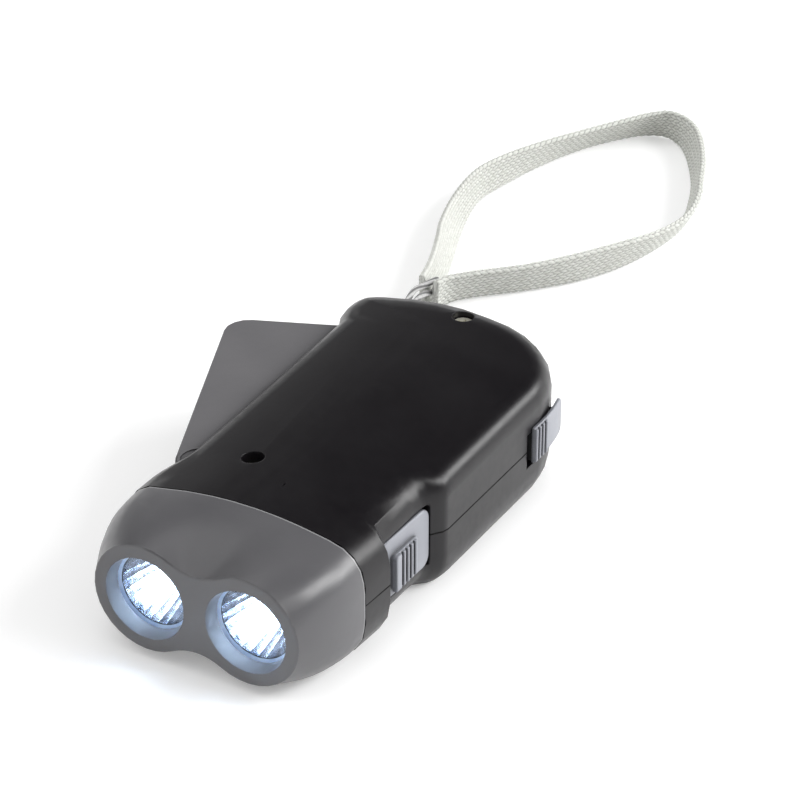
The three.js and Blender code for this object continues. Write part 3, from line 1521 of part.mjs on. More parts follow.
// Wrist strap: a flat plait that stands on its edge, its two ends either side of the lanyard. A row gives
// the place of the lower edge on the floor, and how far the upper edge leans out of the loop
function wristStrap() {
  const route = [
    [-29.5, 87.4, 0.3],
    [-29.9, 90.8, 1.6],
    [-29.1, 94.4, 2.7],
    [-26.2, 98.3, 2.9],
    [-17.7, 106.8, 2.9],
    [-10, 116, 2.2],
    [-6.85, 121.2, 2.2],
    [-4.3, 126.6, 2.7],
    [-1.5, 136.3, 4.2],
    [-0.1, 147, 4.6],
    [-0.8, 156.2, 3.5],
    [-2.35, 162, 2.7],
    [-6.55, 173.25, 2.3],
    [-12.4, 183.8, 2.4],
    [-15.7, 188.8, 1.9],
    [-19.5, 193.45, 0],
    [-24.5, 195.9, -2.8],
    [-29.6, 193.8, -3.9],
    [-36.8, 184.3, -4.6],
    [-41.8, 173.3, -4.1],
    [-45.1, 161.7, -2.5],
    [-47.3, 149.9, -0.4],
    [-48.1, 143.9, 0.1],
    [-47.45, 138, 0.7],
    [-44.05, 126.45, 2.3],
    [-39.9, 115.1, 3.1],
    [-37.8, 109.6, 2.8],
    [-34.6, 99.2, 1.8],
    [-33.4, 92.8, 0.9],
    [-32.9, 88.4, 0.3],
  ];
  return leaningBand(route, flatSection(strapWidth, strapThickness), 76);
}

function leaningBand(route, section, steps) {
  const curve = new THREE.CatmullRomCurve3(route.map(([x, y, lean]) => new THREE.Vector3(x, y, lean)));
  const rings = [];
  for (let i = 0; i <= steps; i += 1) {
    const place = curve.getPointAt(i / steps);
    const along = curve.getTangentAt(i / steps).setZ(0).normalize();
    const outward = new THREE.Vector3(along.y, -along.x, 0);
    const tilt = Math.asin(place.z / strapWidth);
    const rise = new THREE.Vector3(0, 0, Math.cos(tilt)).addScaledVector(outward, Math.sin(tilt));
    const side = outward.clone().multiplyScalar(Math.cos(tilt)).setZ(-Math.sin(tilt));
    const foot = place.clone().setZ(strapFloorGap + (Math.abs(side.z) * strapThickness) / 2);
    foot.addScaledVector(rise, strapWidth / 2);
    rings.push(section.map((corner) => {
      return foot.clone().addScaledVector(rise, corner.x).addScaledVector(side, corner.y);
    }));
  }
  return loft(rings);
}

// Leads between the board and what it joins, each ending a clearance before its pad

const boardFace = boardX - gap;
const boardFront = boardFrontY - gap;
const boardMiddle = boardX + boardThickness / 2;
const lampPad = lampBoardY + lampBoardThickness + gap;
const cellEdge = cellX + cellRadius + gap;
const coilEnd = rotor.x + coilLength / 2 + gap;
const leadRoutes = {
  lamp_lead_1: [
    [13, lampPad, 17],
    [13.6, lampPad + 3, 17.2],
    [boardMiddle, boardFront - 3, 16.8],
    [boardMiddle, boardFront, 16.5],
  ],
  lamp_lead_2: [
    [13, lampPad, 10],
    [13.6, lampPad + 3, 10.2],
    [boardMiddle, boardFront - 3, 10.8],
    [boardMiddle, boardFront, 11],
  ],
  cell_lead_1: [
    [cellEdge, cellY, 18],
    [cellEdge + 1.1, cellY + 0.6, 18.3],
    [boardFace - 1.1, boardFrontY + 2.8, 18.2],
    [boardFace, boardFrontY + 3, 18],
  ],
  cell_lead_2: [
    [cellEdge, cellY, 7.6],
    [cellEdge + 1.1, cellY + 0.6, 7.8],
    [boardFace - 1.1, boardFrontY + 2.8, 8.6],
    [boardFace, boardFrontY + 3, 8.8],
  ],
  coil_lead_1: [
    [coilEnd, bridgeY + 0.9, 13.4],
    [coilEnd + 1.4, bridgeY + 1, 14.1],
    [coilEnd + 3.8, bridgeY + 0.8, 14.5],
    [boardFace, bridgeY + 0.4, 14.6],
  ],
  coil_lead_2: [
    [coilEnd, bridgeY - 0.9, 13.4],
    [coilEnd + 1.4, bridgeY - 1.2, 14.9],
    [coilEnd + 3.8, bridgeY - 1.5, 16],
    [boardFace, bridgeY - 1.8, 16.2],
  ],
};

function circleSection(radius, sides) {
  return arcPoints(0, 0, radius, 0, 360 - 360 / sides, sides - 1);
}

// Flat section whose first axis runs up the band's width
function flatSection(width, thickness) {
  const chamferShare = 0.3;
  const halfWidth = width / 2;
  const halfThickness = thickness / 2;
  const chamfer = thickness * chamferShare;
  return [
    new THREE.Vector2(halfWidth, -halfThickness + chamfer),
    new THREE.Vector2(halfWidth, halfThickness - chamfer),
    new THREE.Vector2(halfWidth - chamfer, halfThickness),
    new THREE.Vector2(-halfWidth + chamfer, halfThickness),
    new THREE.Vector2(-halfWidth, halfThickness - chamfer),
    new THREE.Vector2(-halfWidth, -halfThickness + chamfer),
    new THREE.Vector2(-halfWidth + chamfer, -halfThickness),
    new THREE.Vector2(halfWidth - chamfer, -halfThickness),
  ];
}

function cordSolid(route, section, steps) {
  const curve = new THREE.CatmullRomCurve3(route.map(([x, y, z]) => new THREE.Vector3(x, y, z)));
  const options = { steps, extrudePath: curve, bevelEnabled: false, curveSegments: 1 };
  return solid(new THREE.ExtrudeGeometry(new THREE.Shape(section), options));
}

// The whole torch

const torch = new THREE.Group();

function add(name, body, finish) {
  const mesh = new THREE.Mesh(meshGeometry(body), new THREE.MeshStandardMaterial(finishes[finish]));
  mesh.name = name;
  torch.add(mesh);
}

const secondShaftTop = gearPlateTop + gap;
const magnetTop = magnetBottom + magnetHeight;

add('upper_casing', upperCasing(), 'casing');
add('lower_casing', lowerCasing(), 'casing');
add('head_shell', headShell(), 'head');
add('lens_plate', lensPlate(), 'lens');
add('reflector', reflector(), 'mirror');
add('led_left', lampBulb(-lampX), 'bulb');
add('led_right', lampBulb(lampX), 'bulb');
add('led_board', lampBoard(), 'board');
add('squeeze_lever', squeezeLever(), 'lever');
add('lever_pin', rod(pivot, pivotPinRadius, leverBottom + gap, leverTop, smallSides), 'steel');
add('lever_spring', leverSpring(), 'steel');
add('drive_pinion', drivePinion(), 'nylon');
add('first_wheel', firstWheel(), 'nylon');
add('second_gear', secondGear(), 'nylon');
add('rotor_pinion', rotorPinion(), 'brass');
add('flywheel', flywheel(), 'nylon');
add('ring_magnet', ring(rotor, magnetRadius, magnetBore, magnetBottom, magnetTop), 'magnet');
add('first_shaft', shaft(firstShaft, firstShaftTop), 'steel');
add('second_shaft', shaft(secondShaft, secondShaftTop), 'steel');
add('rotor_shaft', shaft(rotor, secondShaftTop), 'steel');
add('gear_plate', gearPlate(), 'steel');
add('stator_core', statorCore(), 'steel');
add('coil_bobbin', coilBobbin(), 'nylon');
add('coil_winding', coilWinding(), 'copper');
add('circuit_board', circuitBoard(), 'board');
add('switch_body', switchBody(), 'black');
add('switch_knob', switchKnob(), 'black');
add('switch_slider', switchSlider(), 'slider');
add('lock_slider', lockSlider(), 'slider');
for (let i = 0; i < cellCount; i += 1) {
  add(`battery_cell_${i + 1}`, batteryCell(i), 'steel');
}
add('casing_screw_front', casingScrew(frontScrew), 'brass');
add('casing_screw_rear', casingScrew(rearScrew), 'brass');
posts.forEach((post, i) => add(`plate_screw_${i + 1}`, smallScrew(post, gearPlateTop), 'steel'));
corePosts().forEach((post, i) => add(`stator_screw_${i + 1}`, smallScrew(post, coreBottom + coreHeight), 'steel'));
for (const [name, route] of Object.entries(leadRoutes)) {
  add(name, cordSolid(route, circleSection(leadRadius, leadSides), leadSteps), 'lead');
}
add('lanyard_cord', lanyardCord(), 'cloth');
add('wrist_strap', wristStrap(), 'cloth');

export default torch;
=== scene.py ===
# %% [markdown]
# # A squeeze-lever dynamo torch
# The torch has two moulded casing halves, a grey head with two lamps, a lever that winds it, two
# sliders, and a wrist strap on a cord. The frame below holds its solids, already in place. This
# lesson sets up the camera, makes the cords, then the light, then the finishes and the outer skins.

# %% The frame
import bpy
import json
import math
import numpy as np
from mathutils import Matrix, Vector

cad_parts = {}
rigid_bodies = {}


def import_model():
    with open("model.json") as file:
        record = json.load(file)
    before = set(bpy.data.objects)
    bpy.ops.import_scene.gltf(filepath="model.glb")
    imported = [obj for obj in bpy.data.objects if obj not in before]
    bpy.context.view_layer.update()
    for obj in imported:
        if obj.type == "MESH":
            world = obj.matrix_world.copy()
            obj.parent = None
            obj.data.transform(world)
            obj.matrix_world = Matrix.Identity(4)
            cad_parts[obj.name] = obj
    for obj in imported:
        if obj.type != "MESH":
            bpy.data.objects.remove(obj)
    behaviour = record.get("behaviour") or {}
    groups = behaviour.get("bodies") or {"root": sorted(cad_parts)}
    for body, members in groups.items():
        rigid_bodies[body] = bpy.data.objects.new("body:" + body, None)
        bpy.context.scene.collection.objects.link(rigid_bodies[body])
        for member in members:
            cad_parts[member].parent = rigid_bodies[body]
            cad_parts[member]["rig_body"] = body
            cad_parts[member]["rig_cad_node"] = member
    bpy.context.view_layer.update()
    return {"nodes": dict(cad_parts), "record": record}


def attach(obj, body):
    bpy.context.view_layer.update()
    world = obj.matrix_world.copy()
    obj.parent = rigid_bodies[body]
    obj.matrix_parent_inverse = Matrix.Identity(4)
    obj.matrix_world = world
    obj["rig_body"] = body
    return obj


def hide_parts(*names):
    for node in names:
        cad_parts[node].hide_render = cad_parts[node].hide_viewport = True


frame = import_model()
record = frame["record"]
body_of = {node: body for body, nodes in record["behaviour"]["bodies"].items() for node in nodes}
MM = 0.001
print("solids in the frame:", len(frame["nodes"]))

# %% [markdown]
# ## Camera
# A long lens from the front right, looking down by 30 degrees, keeps the torch nearly free of
# perspective, as in a catalogue picture. The camera is turned from its own line of sight, so the
# torch stays at the middle of the frame.

# %% Camera
CAMERA_PLACE = Vector((0.25396, -0.42276, 0.31832))
CAMERA_SIDE = math.radians(29.802)
CAMERA_DOWN = math.radians(30.2362)
CAMERA_LENS = 135
SENSOR_WIDTH = 36

sight_back = Vector((
    math.sin(CAMERA_SIDE) * math.cos(CAMERA_DOWN),
    -math.cos(CAMERA_SIDE) * math.cos(CAMERA_DOWN),
    math.sin(CAMERA_DOWN),
))
bpy.ops.object.camera_add(location=CAMERA_PLACE)
camera = bpy.context.object
camera.name = "camera"
camera.rotation_mode = "QUATERNION"
camera.rotation_quaternion = (-sight_back).to_track_quat("-Z", "Y")
camera.data.lens = CAMERA_LENS
camera.data.sensor_width = SENSOR_WIDTH
bpy.context.scene.camera = camera
bpy.context.scene.view_settings.view_transform = "Standard"
print("camera looks along", tuple(round(-c, 3) for c in sight_back))

# %% [markdown]
# ## Wrist strap
# The real strap is a flat plait of pale yarn, 8.5 mm wide and 1.7 mm thick, that stands on its edge.
# It could be a smooth band with a printed weave, but a plait shows its relief against the light, so
# each stitch is raised in the mesh. A row of the route gives the place of the lower edge and how far
# the upper edge leans out of the loop.

# %% Curves through given rows
POINTS_PER_SPAN = 24


def smooth_line(rows, spacing):
    """Points at even steps along the smooth curve through the rows, which may lie unevenly."""
    rows = np.array(rows, float)
    ends = np.vstack([2 * rows[0] - rows[1], rows, 2 * rows[-1] - rows[-2]])
    share = np.linspace(0, 1, POINTS_PER_SPAN, endpoint=False)[:, None]
    fine = []
    for before, start, end, after in zip(ends, ends[1:], ends[2:], ends[3:]):
        steps = [np.linalg.norm(b - a) ** 0.5 for a, b in ((before, start), (start, end), (end, after))]
        middle = (end - start) / steps[1]
        leave = (start - before) / steps[0] - (end - before) / (steps[0] + steps[1]) + middle
        arrive = middle - (after - start) / (steps[1] + steps[2]) + (after - end) / steps[2]
        leave, arrive = leave * steps[1], arrive * steps[1]
        square = 3 * (end - start) - 2 * leave - arrive
        cube = 2 * (start - end) + leave + arrive
        fine.append(start + leave * share + square * share**2 + cube * share**3)
    fine = np.vstack(fine + [rows[-1:]])
    run = np.concatenate([[0], np.cumsum(np.linalg.norm(np.diff(fine, axis=0), axis=1))])
    at = np.linspace(0, run[-1], round(run[-1] / spacing) + 1)
    return np.column_stack([np.interp(at, run, fine[:, axis]) for axis in range(3)])


def unit(rows):
    return rows / np.linalg.norm(rows, axis=-1, keepdims=True)


def length_along(points):
    return np.concatenate([[0], np.cumsum(np.linalg.norm(np.diff(points, axis=0), axis=1))])


def smoothstep(value, low, high):
    share = np.clip((value - low) / (high - low), 0, 1)
    return share * share * (3 - 2 * share)


corner_test = smooth_line([(0, 0, 0), (10, 0, 0), (10, 10, 0)], 1)
print("a test curve round a corner has", len(corner_test), "points")

# %% Strap route
STRAP_WIDTH = 8.5
STRAP_THICKNESS = 1.7
STRAP_FLOOR_GAP = 0.05
STRAP_ROUTE = [
    (-29.5, 87.4, 0.3), (-29.9, 90.8, 1.6), (-29.1, 94.4, 2.7), (-26.2, 98.3, 2.9), (-17.7, 106.8, 2.9),
    (-10, 116, 2.2), (-6.85, 121.2, 2.2), (-4.3, 126.6, 2.7), (-1.5, 136.3, 4.2), (-0.1, 147, 4.6),
    (-0.8, 156.2, 3.5), (-2.35, 162, 2.7), (-6.55, 173.25, 2.3), (-12.4, 183.8, 2.4),
    (-15.7, 188.8, 1.9), (-19.5, 193.45, 0), (-24.5, 195.9, -2.8), (-29.6, 193.8, -3.9),
    (-36.8, 184.3, -4.6), (-41.8, 173.3, -4.1), (-45.1, 161.7, -2.5), (-47.3, 149.9, -0.4),
    (-48.1, 143.9, 0.1), (-47.45, 138, 0.7), (-44.05, 126.45, 2.3), (-39.9, 115.1, 3.1),
    (-37.8, 109.6, 2.8), (-34.6, 99.2, 1.8), (-33.4, 92.8, 0.9), (-32.9, 88.4, 0.3),
]
STRAP_STEP = 0.3

places = smooth_line(STRAP_ROUTE, STRAP_STEP)
along = np.gradient(places, axis=0)
along[:, 2] = 0
along = unit(along)
outward = np.column_stack([along[:, 1], -along[:, 0], np.zeros(len(along))])
tilt = np.arcsin(places[:, 2] / STRAP_WIDTH)[:, None]
upright = np.array([[0, 0, 1]])
rise = upright * np.cos(tilt) + outward * np.sin(tilt)
side = outward * np.cos(tilt) - upright * np.sin(tilt)
foot = places.copy()
foot[:, 2] = STRAP_FLOOR_GAP + np.abs(side[:, 2]) * STRAP_THICKNESS / 2
strap_middle = foot + rise * STRAP_WIDTH / 2
strap_run = length_along(strap_middle)
print("strap length in mm:", round(strap_run[-1], 1))

# %% [markdown]
# ## Plait relief
# Seen close, the plait is a row of columns. The stitches of one column slant forward and those of
# the next slant back. The section of the band is walked round once, so the columns carry on over
# both edges. Near one end the yarns are pulled straight, so the stitches fade into long ribs there.

# %% Stitches
STITCH_COLUMNS = 20
SAMPLES_PER_COLUMN = 5
STITCH_LENGTH = 1.75
STITCH_SLANT = 0.5
STITCH_RELIEF = 0.32
STITCH_FULLNESS = 2.2
STITCH_SQUARENESS = 0.7
PULLED_LENGTH = 46
PULLED_FADE = 0.6
PULLED_LEVEL = 0.82


def band_section(width, thickness, count):
    """Points and outward directions evenly round a flat section with round edges."""
    radius = thickness / 2
    flat = width - thickness
    bend = math.pi * radius
    points, normals = [], []
    for s in (np.arange(count) / count * 2 * (flat + bend) - flat / 2) % (2 * (flat + bend)):
        turn, s = divmod(s, flat + bend)
        angle = math.pi / 2 - min(s, bend) / radius
        normal = np.array((math.cos(angle), math.sin(angle)))
        point = radius * normal + (flat / 2 - max(s - bend, 0), 0)
        sign = -1 if turn else 1
        points.append(sign * point)
        normals.append(sign * normal)
    return np.array(points), np.array(normals)


def swell(place):
    """1 in the middle of a stitch or column, and 0 at its two sides, which are -1 and 1."""
    return np.clip(1 - np.abs(place) ** STITCH_FULLNESS, 0, 1) ** STITCH_SQUARENESS


def stitch_height(run, column):
    """Height of the plait from 0 to 1 at a length along the band and a column round it."""
    index = np.floor(column)
    across = 2 * (column - index) - 1
    direction = 1 - 2 * (index % 2)
    phase = (run + direction * across * STITCH_SLANT) / STITCH_LENGTH + 0.5 * (index % 2)
    beat = 2 * (phase % 1) - 1
    pulled = smoothstep(run, strap_run[-1] - PULLED_LENGTH, strap_run[-1] - PULLED_FADE * PULLED_LENGTH)
    stitch = swell(beat)
    faint = PULLED_LEVEL + (1 - PULLED_LEVEL) * stitch
    return swell(across) * (stitch * (1 - pulled) + faint * pulled)


print("stitch columns round the band:", STITCH_COLUMNS)

# %% Helper for tubes
END_PILE = 0.4


def chosen(piece):
    """Makes a piece the active one and the only one selected."""
    bpy.ops.object.select_all(action="DESELECT")
    piece.select_set(True)
    bpy.context.view_layer.objects.active = piece


def edit_mode():
    """Opens edit mode with everything selected."""
    bpy.ops.object.mode_set(mode="EDIT")
    bpy.ops.mesh.select_all(action="SELECT")


def object_mode():
    bpy.ops.object.mode_set(mode="OBJECT")


def edit_all(operation, **settings):
    """Runs one mesh operator on all of the active piece."""
    edit_mode()
    operation(**settings)
    object_mode()


def tube_mesh(name, rings, heights, run, round_share):
    """A closed tube through the rings, with its own UV map in metres and a height attribute."""
    count, around = rings.shape[:2]
    vertices = np.vstack([rings.reshape(-1, 3), rings[0].mean(0), rings[-1].mean(0)]) * MM
    faces = []
    for i in range(count - 1):
        for j in range(around):
            a, b = i * around + j, i * around + (j + 1) % around
            faces.append((a, b, b + around, a + around))
    first, last = count * around, count * around + 1
    for j in range(around):
        after = (j + 1) % around
        faces.append((first, after, j))
        faces.append((last, last - 1 - around + j, last - 1 - around + after))
    mesh = bpy.data.meshes.new(name)
    mesh.from_pydata(vertices.tolist(), [], faces)
    uv = mesh.uv_layers.new(name="lengthwise")
    corner_uv = np.zeros((len(mesh.loops), 2))
    corners = np.zeros(len(mesh.loops), int)
    mesh.loops.foreach_get("vertex_index", corners)
    body = corners < first
    corner_uv[body, 0] = run[corners[body] // around] * MM
    corner_uv[body, 1] = (corners[body] % around) / around
    quads = np.arange((count - 1) * around)
    seam = quads[quads % around == around - 1] * 4
    for offset in (1, 2):
        corner_uv[seam + offset, 1] = 1
    corner_uv[:, 1] *= round_share * MM
    uv.data.foreach_set("uv", corner_uv.ravel())
    pile = mesh.attributes.new("pile", "FLOAT", "POINT")
    pile.data.foreach_set("value", np.append(heights.ravel(), [END_PILE, END_PILE]))
    piece = bpy.data.objects.new(name, mesh)
    bpy.context.scene.collection.objects.link(piece)
    chosen(piece)
    edit_all(bpy.ops.mesh.normals_make_consistent, inside=False)
    bpy.ops.object.shade_smooth()
    return piece

# %% Strap mesh
around = STITCH_COLUMNS * SAMPLES_PER_COLUMN
core_points, core_normals = band_section(
    STRAP_WIDTH - 2 * STITCH_RELIEF, STRAP_THICKNESS - 2 * STITCH_RELIEF, around)
columns = (np.arange(around) + 0.5) / SAMPLES_PER_COLUMN
heights = stitch_height(strap_run[:, None], columns[None, :])
reach = core_points[None] + core_normals[None] * (heights * STITCH_RELIEF)[..., None]
rings = strap_middle[:, None] + rise[:, None] * reach[..., :1] + side[:, None] * reach[..., 1:]
strap = tube_mesh("strap_plait", rings, heights, strap_run, 2 * (STRAP_WIDTH + STRAP_THICKNESS))
print("strap faces:", len(strap.data.polygons))

# %% [markdown]
# ## Lanyard
# A thin cord of three twisted strands leaves the slot at the rear of the casing, is held between
# the two ends of the strap, and goes back. It runs as its solid in the frame does, with its two legs
# a little closer together. Each ring of the tube has three lobes, and every next ring is turned a
# little, which lays the strands.

# %% Lanyard mesh
SLOT = np.array((-18.6, 46.8, 14.6))
CORD_RADIUS = 0.7
CORD_STEP = 0.35
STRANDS = 3
LAY_LENGTH = 30
LOBE_DEPTH = 0.16
LOBE_SQUARENESS = 0.7
CORD_SIDES = 18
FROM_SLOT = [(-0.9, -2.1, 0), (-2.1, -1, 0), (-2.35, 1.2, 0), (-2.4, 4.6, 0), (-3.2, 9.5, -0.3)]
OUTSIDE = [
    (-26.2, 68, 11.7), (-29.9, 77, 9.2), (-31.6, 83, 8), (-31.4, 87, 7.3), (-31.2, 89.8, 6.9),
    (-31.15, 91.5, 6.5), (-31.1, 92.1, 5.5), (-31.15, 91.5, 4.5), (-31.2, 89.8, 4.2),
    (-31.2, 87, 5.2), (-30.2, 82.4, 6.8), (-28.5, 77, 8.4), (-24.7, 68, 11.2),
]
TO_SLOT = [(-0.4, 9.5, -0.2), (1.9, 4.6, 0), (2.35, 1.2, 0), (2.1, -1, 0), (0.9, -2.1, 0)]

LANYARD_ROUTE = np.vstack([SLOT + FROM_SLOT, OUTSIDE, SLOT + TO_SLOT])
lanyard_line = smooth_line(LANYARD_ROUTE, CORD_STEP)
lanyard_run = length_along(lanyard_line)
headings = unit(np.gradient(lanyard_line, axis=0))
across = np.cross(headings[0], (0, 0, 1))
frames = []
for heading in headings:
    across = unit(across - heading * (across @ heading))
    frames.append((across, np.cross(heading, across)))
angles = np.arange(CORD_SIDES) * 2 * math.pi / CORD_SIDES
lay = 2 * math.pi * lanyard_run[:, None] / LAY_LENGTH
lobes = 0.5 + 0.5 * np.cos(STRANDS * (angles[None] - lay))
radii = CORD_RADIUS * (1 - LOBE_DEPTH * (1 - lobes**LOBE_SQUARENESS))
cord_rings = np.array([
    line + radius[:, None] * (np.cos(angles)[:, None] * pair[0] + np.sin(angles)[:, None] * pair[1])
    for line, radius, pair in zip(lanyard_line, radii, frames)
])
lanyard = tube_mesh("lanyard_strands", cord_rings, lobes, lanyard_run, 2 * math.pi * CORD_RADIUS)
print("lanyard length in mm:", round(lanyard_run[-1], 1))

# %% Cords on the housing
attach(strap, "housing")
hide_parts("wrist_strap")
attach(lanyard, "housing")
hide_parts("lanyard_cord")
print("cords ride on the housing:", strap.name, lanyard.name)

# %% [markdown]
# ## Floor and light
# The torch stands on a white table. Its black top mirrors a dim ceiling, its sides mirror the bright
# table, and a long soft lamp behind it draws the streak along the right edge. A lamp at the side
# lights the corner of the head. One bright lamp alone would leave hard shadows, so there are three
# soft ones. The table is made whiter for what the camera and mirrors see, so the lamps can stay at a
# plain level.

# %% Helper for node trees
def add_node(tree, kind, links=(), **values):
    """Adds a shader node. A value is set on the node or its input, and a link is (input, output)."""
    node = tree.nodes.new(f"ShaderNode{kind}")
    for name, value in values.items():
        if hasattr(node, name):
            setattr(node, name, value)
        else:
            node.inputs[name.replace("_", " ")].default_value = value
    for entry, output in links:
        tree.links.new(output, node.inputs[entry])
    return node


def set_values(entries, values):
    """Sets plain values on inputs, which are named with _ for a space."""
    for label, value in values.items():
        entries[label.replace("_", " ")].default_value = value


def put(tree, entry, value):
    """Joins an output to a node's input, or sets the input to a plain value."""
    if isinstance(value, bpy.types.NodeSocket):
        tree.links.new(value, entry)
    else:
        entry.default_value = value


def feed(tree, entries, **sockets):
    """Joins outputs to the inputs of a node, which are named with _ for a space."""
    for label, output in sockets.items():
        tree.links.new(output, entries[label.replace("_", " ")])


def calculate(tree, operation, *operands):
    """A Math node of sockets and plain numbers."""
    node = add_node(tree, "Math", operation=operation)
    for entry, operand in zip(node.inputs, operands):
        put(tree, entry, operand)
    return node.outputs[0]


def times(tree, first, second):
    return calculate(tree, "MULTIPLY", first, second)


def seen_directly(tree):
    """1 for camera, glossy and transmission rays."""
    rays = add_node(tree, "LightPath").outputs
    some = calculate(tree, "MAXIMUM", rays["Is Camera Ray"], rays["Is Glossy Ray"])
    return calculate(tree, "MAXIMUM", some, rays["Is Transmission Ray"])

# %% Floor
FLOOR_SIZE = 16
FLOOR_COLOUR = (0.84, 0.84, 0.84, 1)
FLOOR_ROUGHNESS = 0.8
FLOOR_SHINE = 0.1
FLOOR_LIFT = 0.24

bpy.ops.mesh.primitive_plane_add(size=FLOOR_SIZE)
floor = bpy.context.object
floor.name = "floor"
table = bpy.data.materials.new("white_table")
table.use_nodes = True
tree = table.node_tree
paint = tree.nodes["Principled BSDF"]
paint.inputs["Base Color"].default_value = FLOOR_COLOUR
paint.inputs["Roughness"].default_value = FLOOR_ROUGHNESS
paint.inputs["Specular IOR Level"].default_value = FLOOR_SHINE
lift_level = times(tree, seen_directly(tree), FLOOR_LIFT)
lift = add_node(tree, "Emission", [("Strength", lift_level)])
both = add_node(tree, "AddShader", [(0, paint.outputs[0]), (1, lift.outputs[0])])
tree.links.new(both.outputs[0], tree.nodes["Material Output"].inputs["Surface"])
floor.data.materials.append(table)
print("table is", FLOOR_SIZE, "m wide")

# %% World
AMBIENT = 0.65
CEILING = 0.02
HORIZON_FOOT, HORIZON_TOP = 0.02, 0.44

world = bpy.data.worlds.new("studio")
world.use_nodes = True
bpy.context.scene.world = world
tree = world.node_tree
rays = add_node(tree, "LightPath").outputs
direction = add_node(tree, "SeparateXYZ", [(0, add_node(tree, "TexCoord").outputs["Generated"])])
height = add_node(tree, "MapRange", [("Value", direction.outputs["Z"])],
                  interpolation_type="SMOOTHSTEP", From_Min=HORIZON_FOOT, From_Max=HORIZON_TOP,
                  To_Min=1, To_Max=CEILING)
mirrored = calculate(tree, "MAXIMUM", rays["Is Glossy Ray"], rays["Is Transmission Ray"])
level = add_node(tree, "Mix", [("Factor", mirrored), (3, height.outputs[0])])
level.inputs[2].default_value = AMBIENT
final = add_node(tree, "Mix", [("Factor", rays["Is Camera Ray"]), (2, level.outputs[0])])
final.inputs[3].default_value = 1
tree.links.new(final.outputs[0], tree.nodes["Background"].inputs["Strength"])
tree.nodes["Background"].inputs["Color"].default_value = (1, 1, 1, 1)
print("room light level:", AMBIENT)

# %% Lamps
MIDDLE = (0, 0.02, 0.01)
LAMPS = {
    "key": ((-0.45, -0.2, 1.15), (1.4, 1.4), 5),
    "edge": ((0.82, 0.84, 0.53), (0.8, 0.36), 8),
    "side": ((0.84, 0.3, 0.74), (0.6, 0.4), 6),
}


def soft_lamp(name, place, size, power):
    """A flat lamp of a size in metres and a power in watts, turned towards the torch."""
    bpy.ops.object.light_add(type="AREA", location=place)
    lamp = bpy.context.object
    lamp.name = name
    lamp.data.shape = "RECTANGLE"
    lamp.data.size, lamp.data.size_y = size
    lamp.data.energy = power
    lamp.rotation_mode = "QUATERNION"
    lamp.rotation_quaternion = (Vector(place) - Vector(MIDDLE)).to_track_quat("Z", "Y")


for name, (place, size, power) in LAMPS.items():
    soft_lamp(name, place, size, power)

# %% [markdown]
# ## Shared surface effects
# Moulded plastic has a fine grain, a slow drift of tone, and polish that changes where hands rub it.
# These effects are node groups, so that each finish can use them with its own sizes.

# %% Helper for node groups
FLOAT = "NodeSocketFloat"
NOISE_RANGE = (0.3, 0.7)


def new_group(name, inputs, outputs):
    """A node group. Inputs are name to start value, and outputs are name to socket kind."""
    tree = bpy.data.node_groups.new(name, "ShaderNodeTree")
    for label, start in inputs.items():
        tree.interface.new_socket(label, in_out="INPUT", socket_type=FLOAT).default_value = start
    for label, kind in outputs.items():
        tree.interface.new_socket(label, in_out="OUTPUT", socket_type=kind)
    return tree, tree.nodes.new("NodeGroupInput").outputs, tree.nodes.new("NodeGroupOutput").inputs


def noise(tree, vector, scale, detail=2.0, rough=0.5):
    """A noise value about 0.5. The scale is a socket or a number of cells a metre."""
    node = add_node(tree, "TexNoise", [("Vector", vector)], Detail=detail, Roughness=rough)
    put(tree, node.inputs["Scale"], scale)
    return node.outputs[0]


def spread(tree, value, low, high, to_low=0.0, to_high=1.0):
    return add_node(tree, "MapRange", [("Value", value)], From_Min=low, From_Max=high,
                    To_Min=to_low, To_Max=to_high).outputs[0]


def between(tree, value, low, high):
    """A value from 0 to 1, carried over to run from low to high."""
    return spread(tree, value, 0.0, 1.0, low, high)


def per_metre(tree, size):
    """Cells a metre for a size in millimetres."""
    return calculate(tree, "DIVIDE", 1000.0, size)

# %% Grain group
POLISH_RANGE = (0.7, 1.3)
COARSE_GRAIN = 9.0
FINE_SHARE, COARSE_SHARE = 0.8, 0.2

grain, entry, leave = new_group("moulded_grain", {"Grain Size": 0.2, "Cloud Size": 16.0},
                                {"Tone": FLOAT, "Polish": FLOAT, "Height": FLOAT})
place = add_node(grain, "TexCoord").outputs["Object"]
cloud = noise(grain, place, per_metre(grain, entry["Cloud Size"]), 3.0)
fine = noise(grain, place, per_metre(grain, entry["Grain Size"]), 2.0, 0.6)
coarse_size = times(grain, entry["Grain Size"], COARSE_GRAIN)
coarse = noise(grain, place, per_metre(grain, coarse_size), 2.0)
coarse_share = times(grain, coarse, COARSE_SHARE)
feed(grain, leave, Tone=spread(grain, cloud, *NOISE_RANGE),
     Polish=spread(grain, calculate(grain, "ADD", cloud, coarse), *POLISH_RANGE),
     Height=calculate(grain, "MULTIPLY_ADD", fine, FINE_SHARE, coarse_share))
print("grain nodes:", len(grain.nodes))

# %% Handling and painted crevice shade groups
EDGE_RANGE = (0.99, 0.86)
PATCH_SCALE, PATCH_RANGE = 900.0, (0.35, 0.6)
UPWARD_RANGE = (0.3, 1.0)
SPECK_SCALE, SPECK_RANGE = 2600.0, (0.66, 0.74)
SCRATCH_TURN, SCRATCH_STRETCH, SCRATCH_WIDTH = (0.3, 0.2, 0.9), (1, 14, 14), 0.008
SCRATCHED_SCALE, SCRATCHED_RANGE = 120.0, (0.52, 0.6)

